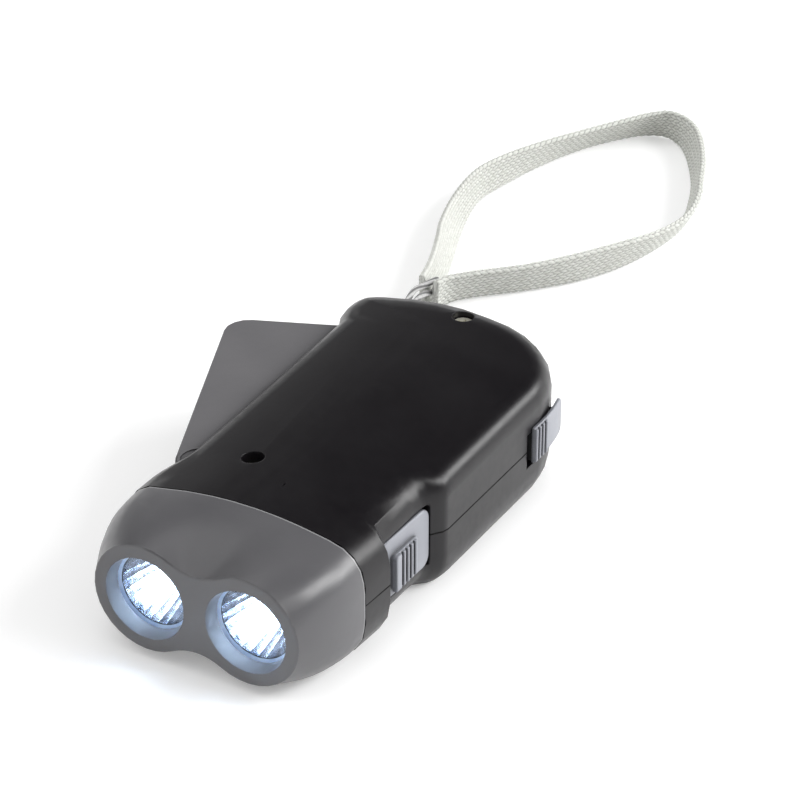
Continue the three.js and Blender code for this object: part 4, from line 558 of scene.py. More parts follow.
wear, entry, leave = new_group("handling", {"Edge Width": 0.25, "Scratch Length": 9.0},
                               {"Edge": FLOAT, "Dust": FLOAT, "Scratch": FLOAT})
place = add_node(wear, "TexCoord").outputs["Object"]
surface = add_node(wear, "NewGeometry").outputs
rounded = add_node(wear, "Bevel", samples=4)
feed(wear, rounded.inputs, Radius=times(wear, entry["Edge Width"], MM))
same = add_node(wear, "VectorMath", [(0, rounded.outputs[0]), (1, surface["Normal"])],
                operation="DOT_PRODUCT")
sharp = spread(wear, same.outputs["Value"], *EDGE_RANGE)
patchy = spread(wear, noise(wear, place, PATCH_SCALE, 3.0), *PATCH_RANGE)
upward = add_node(wear, "SeparateXYZ", [(0, surface["Normal"])]).outputs["Z"]
specks = spread(wear, noise(wear, place, SPECK_SCALE, 2.0), *SPECK_RANGE)
long_place = add_node(wear, "Mapping", [("Vector", place)], Rotation=SCRATCH_TURN,
                      Scale=SCRATCH_STRETCH)
length = per_metre(wear, entry["Scratch Length"])
lines = noise(wear, long_place.outputs[0], length, 1.0)
from_line = calculate(wear, "ABSOLUTE", calculate(wear, "SUBTRACT", lines, 0.5))
close = spread(wear, from_line, SCRATCH_WIDTH, 0.0)
rare = spread(wear, noise(wear, place, SCRATCHED_SCALE, 1.0), *SCRATCHED_RANGE)
feed(wear, leave, Edge=times(wear, sharp, patchy),
     Dust=times(wear, spread(wear, upward, *UPWARD_RANGE), specks),
     Scratch=times(wear, close, rare))

# Painted shade: this group darkens colour where nearby faces close a surface in, as if shade fell
# there.
painted_crevice_shade, entry, leave = new_group("painted_crevice_shade", {"Reach": 3.0}, {"Shade": FLOAT})
enclosed = add_node(painted_crevice_shade, "AmbientOcclusion", samples=6)
feed(painted_crevice_shade, enclosed.inputs, Distance=times(painted_crevice_shade, entry["Reach"], MM))
feed(painted_crevice_shade, leave, Shade=calculate(painted_crevice_shade, "SUBTRACT", 1.0, enclosed.outputs["AO"]))
print("groups:", [g.name for g in bpy.data.node_groups])

# %% [markdown]
# ## Plastic finishes
# Casing, head, lever and sliders are the same kind of moulding, in black, two greys and a pale
# blue-grey. A picture of plastic would fix the grain to one view, so the grain is worked out from the
# place on the piece. Where two moulded parts meet, the groove is deep and matt, so a mask by height
# or depth takes its shine away.
# On the head, a thin pale band just before the seam is a painted highlight, made with the same mask.

# %% Helper for finishes
def new_finish(name, **settings):
    """A material, its tree and its Principled shader, with plain values set on the shader."""
    material = bpy.data.materials.new(name)
    material.use_nodes = True
    tree = material.node_tree
    entries = tree.nodes["Principled BSDF"].inputs
    set_values(entries, settings)
    return material, tree, entries


def placed_group(tree, group, **values):
    node = tree.nodes.new("ShaderNodeGroup")
    node.node_tree = group
    set_values(node.inputs, values)
    return node.outputs


def blend_colours(tree, share, first, second):
    """Mix of two colours, each a socket or a plain colour."""
    node = add_node(tree, "Mix", [("Factor", share)], data_type="RGBA")
    for place, colour in ((6, first), (7, second)):
        put(tree, node.inputs[place], (*colour, 1) if isinstance(colour, tuple) else colour)
    return node.outputs[2]


def axes_of_place(tree):
    """X, Y and Z of the place on the piece, in metres."""
    place = add_node(tree, "TexCoord").outputs["Object"]
    return add_node(tree, "SeparateXYZ", [(0, place)]).outputs


def relief(tree, height, distance, strength=1.0, normal=None):
    bump = add_node(tree, "Bump", [("Height", height)], Strength=strength, Distance=distance * MM)
    if normal is not None:
        tree.links.new(normal, bump.inputs["Normal"])
    return bump.outputs[0]

# %% Moulded plastic
BAND_SOFTNESS = 0.8
EDGE_SHARE = 0.45
DUST_COLOUR = (0.4, 0.4, 0.4)
# Painted shade darkens the body colour down to this share of it.
PAINTED_SHADE_DARKNESS = 0.12
POLISH_LESS, POLISH_MORE = 0.04, 0.05
SCRATCH_ROUGHNESS = 0.03
GRAIN_STRENGTH = 0.5


def near(tree, value, centre, width):
    """1 where a coordinate in metres is close to a place in millimetres, else 0."""
    away = calculate(tree, "ABSOLUTE", calculate(tree, "SUBTRACT", value, centre * MM))
    return spread(tree, away, width * MM, width * BAND_SOFTNESS * MM)


def moulded(name, colour, pale, worn, roughness, grain_size=0.2, grain_depth=0.01, cloud_size=16.0,
            edge_radius=0.2, grooves_and_highlights=(), dust=0.1, painted_shade=0.0, reach=3.0, **settings):
    """Moulded plastic. The colours are for the body, its pale drift and its worn edges."""
    material, tree, entries = new_finish(name, **settings)
    surface = placed_group(tree, grain, Grain_Size=grain_size, Cloud_Size=cloud_size)
    handled = placed_group(tree, wear)
    body = blend_colours(tree, surface["Tone"], colour, pale)
    body = blend_colours(tree, times(tree, handled["Edge"], EDGE_SHARE), body, worn)
    body = blend_colours(tree, times(tree, handled["Dust"], dust), body, DUST_COLOUR)
    # Painted shade in corners and recesses, from the crevice shade group.
    if painted_shade:
        shade = placed_group(tree, painted_crevice_shade, Reach=reach)["Shade"]
        dark = tuple(channel * PAINTED_SHADE_DARKNESS for channel in colour)
        body = blend_colours(tree, times(tree, shade, painted_shade), body, dark)
    rough = between(tree, surface["Polish"], roughness - POLISH_LESS, roughness + POLISH_MORE)
    rough = calculate(tree, "MULTIPLY_ADD", handled["Scratch"], SCRATCH_ROUGHNESS, rough)
    place = axes_of_place(tree)
    # A band is a dark matt joint, or on the head a pale line of painted highlight.
    for axis, centre, width, tint, matt in grooves_and_highlights:
        mask = near(tree, place[axis], centre, width)
        body = blend_colours(tree, mask, body, tint)
        rough = calculate(tree, "MAXIMUM", rough, times(tree, mask, matt))
    soft = add_node(tree, "Bevel", samples=4)
    soft.inputs["Radius"].default_value = edge_radius * MM
    bumps = relief(tree, surface["Height"], grain_depth, GRAIN_STRENGTH, soft.outputs[0])
    feed(tree, entries, Base_Color=body, Roughness=rough, Normal=bumps)
    return material


def dress(material, *pieces):
    for piece in pieces:
        piece.data.materials.clear()
        piece.data.materials.append(material)


black_part = moulded(
    "black_part", (0.012, 0.012, 0.013), (0.016, 0.016, 0.017), (0.05, 0.05, 0.05), 0.5)
print("first finish:", black_part.name)

# %% [markdown]
# ## Outer skins
# The solids in the frame are cut into loose flat triangles. A copy of one is merged at its shared
# corners and shaded smooth where its faces meet at a low angle, and is then shown in its place.

# %% Helper for skins
MERGE_DISTANCE = 1e-6
FLAT_ANGLE = math.radians(0.2)
SMOOTH_ANGLE = 32


def merged_copy(node, name):
    """A copy of a solid, with its loose triangles merged into whole faces."""
    piece = frame["nodes"][node].copy()
    piece.data = frame["nodes"][node].data.copy()
    piece.parent = None
    piece.name = name
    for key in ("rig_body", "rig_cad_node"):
        if key in piece:
            del piece[key]
    bpy.context.scene.collection.objects.link(piece)
    chosen(piece)
    edit_mode()
    bpy.ops.mesh.remove_doubles(threshold=MERGE_DISTANCE)
    bpy.ops.mesh.dissolve_limited(angle_limit=FLAT_ANGLE)
    object_mode()
    bpy.ops.mesh.customdata_custom_splitnormals_clear()
    return piece


def shaded(piece, smooth_angle=SMOOTH_ANGLE):
    chosen(piece)
    bpy.ops.object.shade_smooth_by_angle(angle=math.radians(smooth_angle))
    even = piece.modifiers.new("even", "WEIGHTED_NORMAL")
    even.keep_sharp = True
    bpy.ops.object.modifier_apply(modifier=even.name)
    print(piece.name, "has", len(piece.data.polygons), "faces")


def stand_for(piece, node):
    """The piece moves with the node's body and hides the node."""
    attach(piece, body_of[node])
    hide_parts(node)


def skin(node, name, smooth_angle=SMOOTH_ANGLE):
    piece = merged_copy(node, name)
    shaded(piece, smooth_angle)
    stand_for(piece, node)
    return piece


def pick_edges(piece, test):
    """Selects the edges whose two ends, in millimetres, pass the test, and leaves edit mode open."""
    chosen(piece)
    bpy.ops.object.mode_set(mode="EDIT")
    bpy.ops.mesh.select_mode(type="EDGE")
    bpy.ops.mesh.select_all(action="DESELECT")
    object_mode()
    picked = 0
    for edge in piece.data.edges:
        start, end = (piece.data.vertices[i].co / MM for i in edge.vertices)
        edge.select = bool(test(start, end))
        picked += edge.select
    bpy.ops.object.mode_set(mode="EDIT")
    return picked


def round_edges(piece, test, radius, steps=3):
    picked = pick_edges(piece, test)
    if picked:
        bpy.ops.mesh.bevel(offset=radius * MM, segments=steps, affect="EDGES", clamp_overlap=True)
    object_mode()
    return picked

# %% [markdown]
# ## Casing and head
# The two halves of the casing meet in a fine dark line round the sides. It could be painted, but the
# real line is a groove, so the outer rim of each half is cut back by about 0.15 mm. On the real torch
# the scoop beside the front slider starts flush with the fin before it and deepens to the rear. The
# solid has a step there, so the skin's first row of places is moved out.

# %% Edges of joint, seam and window
JOINT_HEIGHT = 13.2
JOINT_CUT = 0.16
CASING_MIDDLE = (0, 10)
SEAM_Y = -35.85
SEAM_CUT = 0.15
LAMP_X = 10.8
BORE_CLEAR = 12.5
NEAR = 0.02
RAY_START = 2e-4


def on_joint(piece):
    """A test for edges of the outer rim at the joint, with nothing of the piece outward of them."""
    def test(start, end):
        if abs(start.z - JOINT_HEIGHT) > NEAR or abs(end.z - JOINT_HEIGHT) > NEAR:
            return False
        middle = (start + end) / 2
        outward = Vector((middle.x - CASING_MIDDLE[0], middle.y - CASING_MIDDLE[1], 0)).normalized()
        return not piece.ray_cast(middle * MM + outward * RAY_START, outward)[0]
    return test


def on_seam(start, end):
    """True for the outer rim where casing and head meet."""
    middle = (start + end) / 2
    level = abs(start.y - SEAM_Y) < NEAR and abs(end.y - SEAM_Y) < NEAR
    away = math.hypot(max(abs(middle.x) - LAMP_X, 0), middle.z - JOINT_HEIGHT)
    return level and away > BORE_CLEAR


WINDOW_REAR_Y = -9.2
WINDOW_LOW, WINDOW_HIGH = 6.5, 19.9
WINDOW_CORNER = 2.5
WINDOW_NEAR = 0.06
WALL_LEAST = 0.1


def at_window_corner(z):
    def test(start, end):
        through = abs(start.x - end.x) > WALL_LEAST
        return through and all(
            abs(p.y - WINDOW_REAR_Y) < WINDOW_NEAR and abs(p.z - z) < WINDOW_NEAR for p in (start, end))
    return test

# %% Flush start of the scoop
FIN_REAR_Y, SCOOP_FRONT_Y = -27.55, -26.2
TURN_X, TURN_Z = 13.0, 16.0
FLUSH_FROM_Z, FLUSH_TO_Z = 20.2, 22.6


def flush_scoop(piece):
    """Lets the scoop beside the slider start flush with the fin at the top, and stepped lower down."""
    def polar(point):
        away = (point.x / MM - TURN_X, point.z / MM - TURN_Z)
        return math.atan2(away[1], away[0]), math.hypot(*away)

    level = [v.co for v in piece.data.vertices if v.co.x > TURN_X * MM and v.co.z > TURN_Z * MM]
    fin = sorted(polar(p) for p in level if abs(p.y / MM - FIN_REAR_Y) < NEAR)
    moved = 0
    for point in level:
        angle, radius = polar(point)
        share = smoothstep(point.z / MM, FLUSH_FROM_Z, FLUSH_TO_Z)
        if abs(point.y / MM - SCOOP_FRONT_Y) < NEAR and share > 0:
            target = radius + share * (np.interp(angle, *zip(*fin)) - radius)
            point.x = (TURN_X + target * math.cos(angle)) * MM
            point.z = (TURN_Z + target * math.sin(angle)) * MM
            moved += 1
    print(piece.name, "flush places:", moved)


upper = merged_copy("upper_casing", "casing_top")
flush_scoop(upper)

# %% Skins of casing and head
lower = merged_copy("lower_casing", "casing_base")
head = merged_copy("head_shell", "head_front")
for piece in (upper, lower):
    print(piece.name, "joint edges:", round_edges(piece, on_joint(piece), JOINT_CUT, 1))
for piece in (upper, lower, head):
    print(piece.name, "seam edges:", round_edges(piece, on_seam, SEAM_CUT, 2))
for piece, z in ((upper, WINDOW_HIGH), (lower, WINDOW_LOW)):
    print(piece.name, "window corners:", round_edges(piece, at_window_corner(z), WINDOW_CORNER, 6))
for piece, node in ((upper, "upper_casing"), (lower, "lower_casing"), (head, "head_shell")):
    shaded(piece)
    stand_for(piece, node)

# %% [markdown]
# ## Lever, bulbs and window
# These have the right shape in the frame already. Modelling them again would gain nothing, so a
# smooth copy of each is enough. The bulbs are round, so more of their edges are smoothed.

# %% Lever, bulbs and window
ROUND_ANGLE = 45

lever = skin("squeeze_lever", "lever_body")
lens = skin("lens_plate", "lamp_window")
bulbs = [skin("led_left", "bulb_left", ROUND_ANGLE), skin("led_right", "bulb_right", ROUND_ANGLE)]

# %% [markdown]
# ## Lamp mirrors
# Each lamp sits in a bright bowl of flat facets, which break the light into streaks. The frame's
# bowl is plain, so a finer one is pulled ring by ring from a circle, just inside it.

# %% Faceted bowls
BOWL_FRONT_Y = -49.4
BOWL_DEPTH = 10.6
BOWL_RIM = 7.5
BOWL_HOLE = 2.75
FACETS = 26
BOWL_ROWS = 5


def circle_at(x, y, sides):
    """A circle round a lamp's axis, and its place. Edit mode is left open on all of it."""
    bpy.ops.object.select_all(action="DESELECT")
    place = Vector((x, y, JOINT_HEIGHT)) * MM
    bpy.ops.mesh.primitive_circle_add(vertices=sides, radius=BOWL_RIM * MM, location=place,
                                      rotation=(math.pi / 2, 0, 0))
    bpy.ops.object.transform_apply(location=True, rotation=True, scale=True)
    edit_mode()
    return bpy.context.object, place


def pull_ring(rearward):
    bpy.ops.mesh.extrude_region_move(TRANSFORM_OT_translate={"value": (0, rearward * MM, 0)})


def close_rings(inside):
    """Turns all faces to one side and leaves edit mode."""
    bpy.ops.mesh.select_all(action="SELECT")
    bpy.ops.mesh.normals_make_consistent(inside=inside)
    object_mode()


def faceted_bowl(x):
    bowl, place = circle_at(x, BOWL_FRONT_Y, FACETS)
    radius = BOWL_RIM
    for row in range(1, BOWL_ROWS + 1):
        share = 1 - row / BOWL_ROWS
        target = BOWL_HOLE + (BOWL_RIM - BOWL_HOLE) * math.sqrt(share)
        step = BOWL_DEPTH / BOWL_ROWS
        pull_ring(step)
        centre = (place.x, place.y + step * row * MM, place.z)
        bpy.ops.transform.resize(value=(target / radius, 1, target / radius), center_override=centre)
        radius = target
    close_rings(inside=True)
    return bowl


def joined(pieces, name):
    chosen(pieces[0])
    for piece in pieces[1:]:
        piece.select_set(True)
    bpy.ops.object.join()
    pieces[0].name = name
    return pieces[0]


bowls = joined([faceted_bowl(-LAMP_X), faceted_bowl(LAMP_X)], "lamp_bowls")
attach(bowls, "housing")
print("bowl facets:", len(bowls.data.polygons))

# %% Glowing collars of painted light
COLLAR_Y = -49.7
COLLAR_RADIUS = 8.9
COLLAR_THICKNESS = 0.2
COLLAR_SIDES = 64


def lit_collar(x):
    """Painted light: a flat glowing ring between bowl and bore, where light spills along the window's
    back.
    """
    ring, place = circle_at(x, COLLAR_Y, COLLAR_SIDES)
    pull_ring(0)
    share = COLLAR_RADIUS / BOWL_RIM
    bpy.ops.transform.resize(value=(share, 1, share), center_override=place)
    pull_ring(COLLAR_THICKNESS)
    close_rings(inside=False)
    return ring


collars = joined([lit_collar(-LAMP_X), lit_collar(LAMP_X)], "painted_glow_collars")
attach(collars, "housing")
print("collar faces:", len(collars.data.polygons))

# %% [markdown]
# ## Sliders
# Each slider is a moulded plate with soft edges and a ribbed grip for the thumb. One block with ribs
# drawn on it would look flat from the side. So the inner part comes from the frame, and the plate, the
# grip and each rib are rounded blocks at the same place. A block is given by the places of its inner
# front lower corner and its outer rear upper corner. The plate thickens to the rear, as a wedge.

# %% Rounded blocks
CORNER_STEPS = 5
SLIDER_ANGLE = 40
RIB_COUNT = 4


def rounded_block(low, high, corner=0.0, corner_at=None, edge=0.2):
    """A block between two places. Its chosen corners along X are rounded, then its outer rim."""
    low, high = Vector(low), Vector(high)
    bpy.ops.object.select_all(action="DESELECT")
    bpy.ops.mesh.primitive_cube_add(size=1, location=(low + high) / 2 * MM, scale=(high - low) * MM)
    piece = bpy.context.object
    bpy.ops.object.transform_apply(location=True, rotation=True, scale=True)
    if corner:
        def at_corner(start, end):
            return abs(start.x - end.x) > NEAR and corner_at(start.y, start.z)
        round_edges(piece, at_corner, corner, CORNER_STEPS)
    round_edges(piece, lambda a, b: min(a.x, b.x) > high.x - NEAR, edge, 3)
    return piece


def at_rear(block):
    """A test for the rear corners of a block."""
    return lambda y, z: y > block[1][1] - NEAR


def ribs(first, pitch, edge):
    """Equal rounded ribs, one behind the other. The first is given by its two places."""
    steps = [Vector((0, pitch * index, 0)) for index in range(RIB_COUNT)]
    low, high = Vector(first[0]), Vector(first[1])
    return [rounded_block(low + step, high + step, edge=edge) for step in steps]


def kept_inside(node, name, limit):
    """The merged solid, cut off at a plane across X and closed there."""
    piece = merged_copy(node, name)
    edit_all(bpy.ops.mesh.bisect, plane_co=(limit * MM, 0, 0), plane_no=(1, 0, 0), use_fill=True,
             clear_outer=True)
    return piece

# %% Front slider
OVERLAP = 0.05
PANEL = ((21.35, -26.9, 6.8), (22.85, -9.28, 19.6))
GRIP = ((22.35, -23.2, 8.4), (24.0, -14.3, 16.2))
LAND = ((23.5, -23.15, 8.5), (24.6, -21.3, 16.1))
GRIP_RIB = ((23.5, -20.6, 8.55), (24.6, -19.85, 16.05))
WEDGE_FROM_Y, WEDGE_RISE, WEDGE_DEPTH = -24.2, 0.65, 0.6


def at_land_corner(y, z):
    """The front upper corner of the smooth land before the ribs."""
    return y < LAND[0][1] + 1 and z > LAND[0][2] + 1


# The inner part is dressed in black, which paints the shade in the gap round the panel.
parts = [kept_inside("switch_slider", "slider_front", PANEL[0][0] + OVERLAP)]
dress(black_part, parts[0])
panel = rounded_block(*PANEL, corner=2.4, corner_at=at_rear(PANEL), edge=0.4)
for vertex in panel.data.vertices:
    if vertex.co.x > (PANEL[1][0] - WEDGE_DEPTH) * MM:
        share = (vertex.co.y / MM - WEDGE_FROM_Y) / (PANEL[1][1] - WEDGE_FROM_Y)
        vertex.co.x += min(max(share, 0), 1) * WEDGE_RISE * MM
parts.append(panel)
parts.append(rounded_block(*GRIP, corner=1.1, corner_at=lambda y, z: True, edge=0.35))
parts.append(rounded_block(*LAND, corner=0.7, corner_at=at_land_corner, edge=0.3))
parts += ribs(GRIP_RIB, pitch=1.42, edge=0.28)
front_slider = joined(parts, "slider_front")
shaded(front_slider, SLIDER_ANGLE)
stand_for(front_slider, "switch_slider")

# %% [markdown]
# ## Rear slider
# The rear slider is a thin tab on a stem dressed in black, which also paints the shade of its pocket.
# It follows the casing's side, which turns inward at the rear. A straight tab would stand off there, so
# the tab and the stem are cut across and bent.

# %% Rear slider
STEM = ((23.6, 27.9, 10.4), (25.8, 38.9, 16.7))
TAB = ((25.7, 27.8, 10.1), (26.35, 42.0, 17.9))
TAB_RIB = ((26.05, 27.82, 10.4), (26.9, 28.54, 17.7))
BEND_FROM_Y = 31
STRAIGHT_FROM_Y = 40
BEND_RATE = 0.0118


def bent_inward(piece):
    """Cuts a piece across and curves it towards the casing, as the casing's own side does."""
    chosen(piece)
    bpy.ops.object.mode_set(mode="EDIT")
    for y in np.arange(BEND_FROM_Y, STRAIGHT_FROM_Y + NEAR, 1):
        bpy.ops.mesh.select_all(action="SELECT")
        bpy.ops.mesh.bisect(plane_co=(0, y * MM, 0), plane_no=(0, 1, 0))
    object_mode()
    for vertex in piece.data.vertices:
        past = max(vertex.co.y / MM - BEND_FROM_Y, 0)
        curved = min(past, STRAIGHT_FROM_Y - BEND_FROM_Y)
        vertex.co.x -= BEND_RATE * curved * (2 * past - curved) * MM
    return piece


# Stem and inner part are dressed in black, which paints the shade in the pocket round the tab.
parts = [kept_inside("lock_slider", "slider_rear", STEM[0][0] + OVERLAP)]
parts.append(bent_inward(rounded_block(*STEM)))
dress(black_part, *parts)
parts.append(bent_inward(rounded_block(*TAB, corner=1.6, corner_at=at_rear(TAB), edge=0.25)))
parts += ribs(TAB_RIB, pitch=1.36, edge=0.3)
rear_slider = joined(parts, "slider_rear")
shaded(rear_slider, SLIDER_ANGLE)
stand_for(rear_slider, "lock_slider")

# %% [markdown]
# ## Outer finishes
# The black of the casing is almost pure, so what shows on it is mostly what it mirrors. The greys of
# head and lever are duller, and painted shade darkens them in their corners and near the casing.
# The sliders are pale with a touch of blue, with painted shade on faces close to the casing.

# %% Outer plastics
DEEP = (0.002, 0.002, 0.002)
# Painted highlight: the pale band on the head just before the seam, where its rim catches light.
LIP_HIGHLIGHT_COLOUR = (0.26, 0.26, 0.265)
LIP_OFFSET, LIP_WIDTH = 0.3, 0.12
black_casing = moulded(
    "black_casing", (0.0068, 0.0058, 0.0072), (0.0085, 0.0075, 0.009), (0.03, 0.03, 0.032), 0.33,
    grooves_and_highlights=(("Z", JOINT_HEIGHT, 0.2, DEEP, 1.0), ("Y", SEAM_Y, 0.16, DEEP, 1.0)),
    dust=0.02, edge_radius=0.3, IOR=1.43)
# Head, lever and sliders take painted shade in corners and near the casing, over their reach in mm.
grey_head = moulded(
    "grey_head", (0.088, 0.087, 0.093), (0.1, 0.099, 0.105), (0.24, 0.24, 0.25), 0.33,
    grooves_and_highlights=(("Y", SEAM_Y - LIP_OFFSET, LIP_WIDTH, LIP_HIGHLIGHT_COLOUR, 0.0),),
    grain_depth=0.012, dust=0.03, painted_shade=0.6, reach=2.0, IOR=1.6)
grey_lever = moulded(
    "grey_lever", (0.122, 0.12, 0.126), (0.137, 0.134, 0.14), (0.26, 0.26, 0.27), 0.4,
    dust=0.03, painted_shade=1.3, reach=13.0)
pale_slider = moulded(
    "pale_slider", (0.28, 0.29, 0.325), (0.32, 0.33, 0.365), (0.55, 0.56, 0.6), 0.38,
    dust=0.0, painted_shade=1.6, reach=3.0)
dress(black_casing, upper, lower)
dress(grey_head, head)
dress(grey_lever, lever)
for piece in (front_slider, rear_slider):
    for slot in piece.material_slots:
        if slot.material != black_part:
            slot.material = pale_slider
print("outer finishes:", black_casing.name, grey_head.name, grey_lever.name, pale_slider.name)

# %% [markdown]
# ## Lamps
# The mirrors are bright metal, a little hazy. The bulbs are clear domes full of light, so most of
# the glow is their image in the facets. The window is clear plastic that lets lamp rays through.

# %% Lamp finishes
mirror, tree, entries = new_finish("bright_mirror", Metallic=1.0)
surface = placed_group(tree, grain, Grain_Size=0.6, Cloud_Size=1.6)
feed(tree, entries,
     Base_Color=blend_colours(tree, surface["Tone"], (0.32, 0.37, 0.47), (0.95, 0.96, 0.98)),
     Roughness=between(tree, surface["Polish"], 0.08, 0.16),
     Normal=relief(tree, surface["Height"], 0.02, 0.4))
dress(mirror, bowls)


def lit_plastic(name, roughness, level, colours, lights):
    """Plastic that glows. The colours and the lights are each a pair that the slow drift blends."""
    material, tree, entries = new_finish(name, Roughness=roughness, Emission_Strength=level)
    tone = placed_group(tree, grain, Grain_Size=0.5, Cloud_Size=3.0)["Tone"]
    feed(tree, entries, Base_Color=blend_colours(tree, tone, *colours),
         Emission_Color=blend_colours(tree, tone, *lights))
    return material


# Painted light: the collars glow though they are no lamps, for the bluish light spilled round the
# bowls.
SPILL_LEVEL, BULB_LEVEL = 0.3, 30.0
dress(lit_plastic("painted_light_spill", 0.4, SPILL_LEVEL, ((0.4, 0.5, 0.65), (0.6, 0.7, 0.85)),
                  ((0.35, 0.5, 0.85), (0.6, 0.75, 1.0))), collars)
dress(lit_plastic("bulb_glow", 0.15, BULB_LEVEL, ((0.85, 0.92, 1.0), (0.95, 0.98, 1.0)),
                  ((0.55, 0.74, 1.0), (0.66, 0.82, 1.0))), *bulbs)

# %% Window finish
window, tree, entries = new_finish("clear_window", IOR=1.45, Transmission_Weight=1.0)
surface = placed_group(tree, grain, Grain_Size=0.5, Cloud_Size=8.0)
feed(tree, entries,
     Base_Color=blend_colours(tree, surface["Tone"], (0.97, 0.99, 1.0), (1.0, 1.0, 1.0)),
     Roughness=between(tree, surface["Polish"], 0.0, 0.03))
passing = add_node(tree, "MixShader", [
    (0, add_node(tree, "LightPath").outputs["Is Shadow Ray"]),
    (1, tree.nodes["Principled BSDF"].outputs[0]),
    (2, add_node(tree, "BsdfTransparent").outputs[0]),
])
tree.links.new(passing.outputs[0], tree.nodes["Material Output"].inputs["Surface"])
dress(window, lens)
print("lamp pieces dressed:", [piece.name for piece in (bowls, collars, *bulbs, lens)])

# %% [markdown]
# ## Cloth
# The yarn is pale grey. A woven pattern in the finish wouldn't follow the stitches of the mesh. So the
# mesh carries the height of each stitch, and by it painted shade darkens the hollows of the plait and
# of the cord, while the tops keep the almost white yarn.
# Fine fibres run along the band in its own UV map.

# %% Cloth finish
FIBRE_STRETCH = (0.25, 1, 1)
DRIFT_SCALE = 700.0
GROOVE_PILE, TOP_PILE = 0.15, 0.6
FIBRE_SHARE = 0.25
FIBRE_STRENGTH = 0.6

yarn, entry, leave = new_group("yarn_fibre", {"Fibre Width": 0.12}, {"Fibre": FLOAT, "Tone": FLOAT})
along_band = add_node(yarn, "UVMap", uv_map="lengthwise").outputs[0]
drawn = add_node(yarn, "Mapping", [("Vector", along_band)], Scale=FIBRE_STRETCH).outputs[0]
fibre = noise(yarn, drawn, per_metre(yarn, entry["Fibre Width"]), 2.0, 0.6)
feed(yarn, leave, Fibre=spread(yarn, fibre, *NOISE_RANGE),
     Tone=spread(yarn, noise(yarn, along_band, DRIFT_SCALE, 2.0), *NOISE_RANGE))


def cloth(name, groove, pale, white, relief_depth):
    material, tree, entries = new_finish(name, Roughness=0.85, Sheen_Weight=0.15, Sheen_Roughness=0.5)
    pile = add_node(tree, "Attribute", attribute_name="pile").outputs["Fac"]
    threads = placed_group(tree, yarn)
    top = blend_colours(tree, threads["Tone"], pale, white)
    # Painted shade: low places of the plait, and the hollows between the cord's strands, take the dark
    # colour.
    body = blend_colours(tree, spread(tree, pile, GROOVE_PILE, TOP_PILE), groove, top)
    body = blend_colours(tree, times(tree, threads["Fibre"], FIBRE_SHARE), body, groove)
    feed(tree, entries, Base_Color=body,
         Roughness=between(tree, threads["Fibre"], 0.95, 0.75),
         Normal=relief(tree, threads["Fibre"], relief_depth, FIBRE_STRENGTH))
    return material


dress(cloth("strap_yarn", (0.27, 0.27, 0.25), (0.62, 0.63, 0.585), (0.78, 0.79, 0.75), 0.08), strap)
dress(cloth("lanyard_yarn", (0.12, 0.12, 0.12), (0.42, 0.42, 0.42), (0.6, 0.6, 0.59), 0.06), lanyard)
print("cloth on:", strap.name, lanyard.name)

# %% [markdown]
# ## Works inside
# The winding works are seldom seen, but the casing can be opened. Steel shafts, plated screws and
# cells are one kind of metal with other colours. Wire wound side by side and stacked core sheets are
# ridges at an even pitch, which a sine of the place gives without a mesh for each turn.

# %% Helper for metals
METAL_EDGE_SHARE = 0.5


def metal(name, dark, bright, low, high, size=0.3, depth=0.01, metallic=1.0):
    """Metal with bright edges. Its roughness drifts between low and high."""
    material, tree, entries = new_finish(name, Metallic=metallic)
    surface = placed_group(tree, grain, Grain_Size=size, Cloud_Size=5.0)
    handled = placed_group(tree, wear, Scratch_Length=4.0)
    body = blend_colours(tree, surface["Tone"], dark, bright)
    body = blend_colours(tree, times(tree, handled["Edge"], METAL_EDGE_SHARE), body, bright)
    feed(tree, entries, Base_Color=body,
         Roughness=between(tree, surface["Polish"], low, high),
         Normal=relief(tree, surface["Height"], depth, GRAIN_STRENGTH))
    return material


STRIPE_DRIFT = 0.3
RIDGE_RANGE = (0.1, 0.8)


def striped(name, axis, pitch, first, second, depth, **settings):
    """A finish of round ridges along one axis, such as wire wound side by side, with painted shade
    between.
    """
    material, tree, entries = new_finish(name, **settings)
    turn = times(tree, axes_of_place(tree)[axis], math.pi / (pitch * MM))
    ridge = calculate(tree, "ABSOLUTE", calculate(tree, "SINE", turn))
    surface = placed_group(tree, grain, Grain_Size=0.4, Cloud_Size=3.0)
    # Painted shade: the colour is darker in the hollows between ridges.
    body = blend_colours(tree, spread(tree, ridge, *RIDGE_RANGE), first, second)
    body = blend_colours(tree, times(tree, surface["Tone"], STRIPE_DRIFT), body, first)
    feed(tree, entries, Base_Color=body,
         Roughness=between(tree, surface["Polish"], 0.25, 0.45),
         Normal=relief(tree, ridge, depth))
    return material

# %% [markdown]
# ## Circuit board
# A real board has copper tracks under green lacquer. Tracks drawn one by one would hardly be seen
# inside the casing, so a brick pattern stands for them: its joints are the paler, raised tracks.

# %% Board finish
TRACK_SCALE = 220.0
TRACK_SHARE = 0.25

board, tree, entries = new_finish("green_board", Coat_Roughness=0.1)
place = add_node(tree, "TexCoord").outputs["Object"]
turned = add_node(tree, "Mapping", [("Vector", place)], Rotation=(0, math.pi / 2, 0)).outputs[0]
tracks = add_node(tree, "TexBrick", [("Vector", turned)], Scale=TRACK_SCALE, Mortar_Size=0.03,
                  Bias=-0.4)
surface = placed_group(tree, grain, Grain_Size=0.2, Cloud_Size=5.0)
mask = calculate(tree, "SUBTRACT", 1.0, tracks.outputs["Fac"])
body = blend_colours(tree, surface["Tone"], (0.01, 0.10, 0.03), (0.015, 0.14, 0.045))
feed(tree, entries,
     Base_Color=blend_colours(tree, times(tree, mask, TRACK_SHARE), body, (0.04, 0.3, 0.1)),
     Roughness=between(tree, surface["Polish"], 0.25, 0.4),
     Normal=relief(tree, mask, 0.03))
print("board finish:", board.name)

# %% [markdown]
# ## Finishes by piece
# Each solid that keeps its own mesh takes one of these. A table of finishes and pieces is easier to
# read and change than a line for each piece.

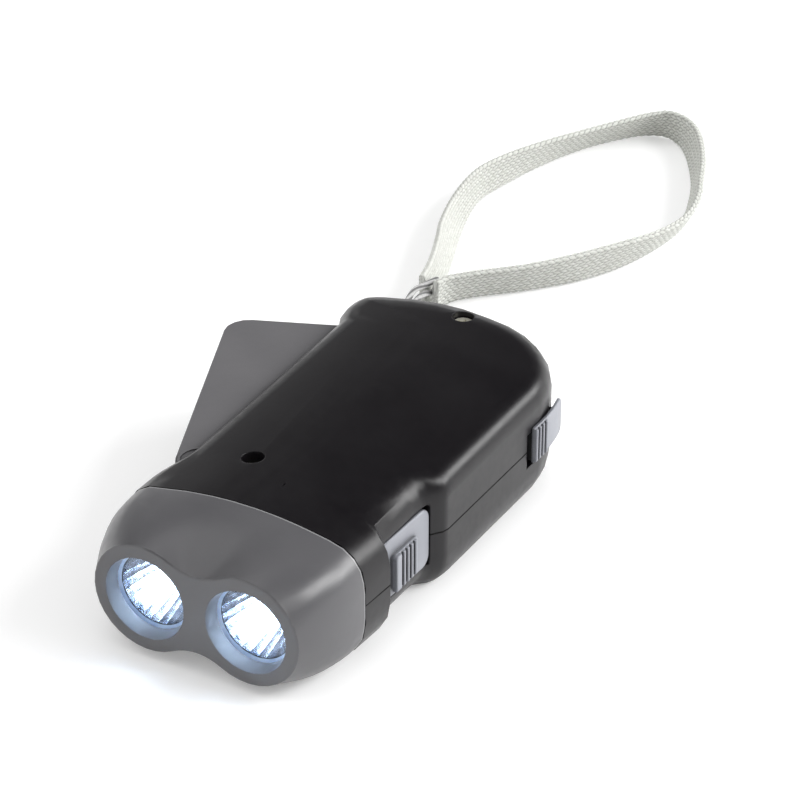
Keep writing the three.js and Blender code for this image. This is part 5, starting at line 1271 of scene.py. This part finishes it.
# %% Inner finishes
FINISHES = [
    (metal("bright_steel", (0.42, 0.42, 0.43), (0.62, 0.62, 0.63), 0.22, 0.4),
     "lever_pin first_shaft second_shaft rotor_shaft gear_plate flywheel"),
    (metal("zinc_screw", (0.62, 0.6, 0.49), (0.88, 0.86, 0.76), 0.35, 0.5, metallic=0.6),
     "casing_screw_front casing_screw_rear plate_screw_1 plate_screw_2 plate_screw_3 plate_screw_4 "
     "stator_screw_1 stator_screw_2"),
    (metal("nickel_cell", (0.55, 0.55, 0.54), (0.72, 0.72, 0.7), 0.2, 0.35),
     "battery_cell_1 battery_cell_2 battery_cell_3"),
    (striped("core_sheets", "Z", 0.5, (0.1, 0.1, 0.1), (0.3, 0.3, 0.31), 0.05, Metallic=1.0),
     "stator_core"),
    (metal("magnet_grey", (0.05, 0.05, 0.055), (0.09, 0.09, 0.095), 0.5, 0.7, 0.15, 0.03),
     "ring_magnet"),
    (striped("copper_wire", "X", 0.35, (0.25, 0.07, 0.02), (0.8, 0.32, 0.14), 0.15, Metallic=1.0),
     "coil_winding"),
    (metal("spring_steel", (0.3, 0.3, 0.32), (0.5, 0.5, 0.52), 0.25, 0.4), "lever_spring"),
    (moulded("white_nylon", (0.62, 0.6, 0.53), (0.7, 0.68, 0.61), (0.8, 0.79, 0.73), 0.45,
             edge_radius=0.1),
     "drive_pinion first_wheel second_gear rotor_pinion"),
    (moulded("cream_bobbin", (0.5, 0.46, 0.36), (0.58, 0.54, 0.44), (0.7, 0.67, 0.58), 0.5),
     "coil_bobbin"),
    (moulded("red_lead", (0.42, 0.02, 0.015), (0.5, 0.03, 0.02), (0.6, 0.1, 0.08), 0.4,
             edge_radius=0.05),
     "lamp_lead_1 cell_lead_1 coil_lead_1"),
    (moulded("black_lead", (0.015, 0.015, 0.016), (0.022, 0.022, 0.023), (0.05, 0.05, 0.05), 0.4,
             edge_radius=0.05),
     "lamp_lead_2 cell_lead_2 coil_lead_2"),
    (black_part, "switch_body switch_knob"),
    (board, "circuit_board led_board"),
    (mirror, "reflector"),
]
for finish, nodes in FINISHES:
    for node in nodes.split():
        for slot in frame["nodes"][node].material_slots:
            slot.material = finish
print("finished solids:", sum(len(nodes.split()) for finish, nodes in FINISHES))

# %% [markdown]
# ## End

# %% Close
print("scene built")
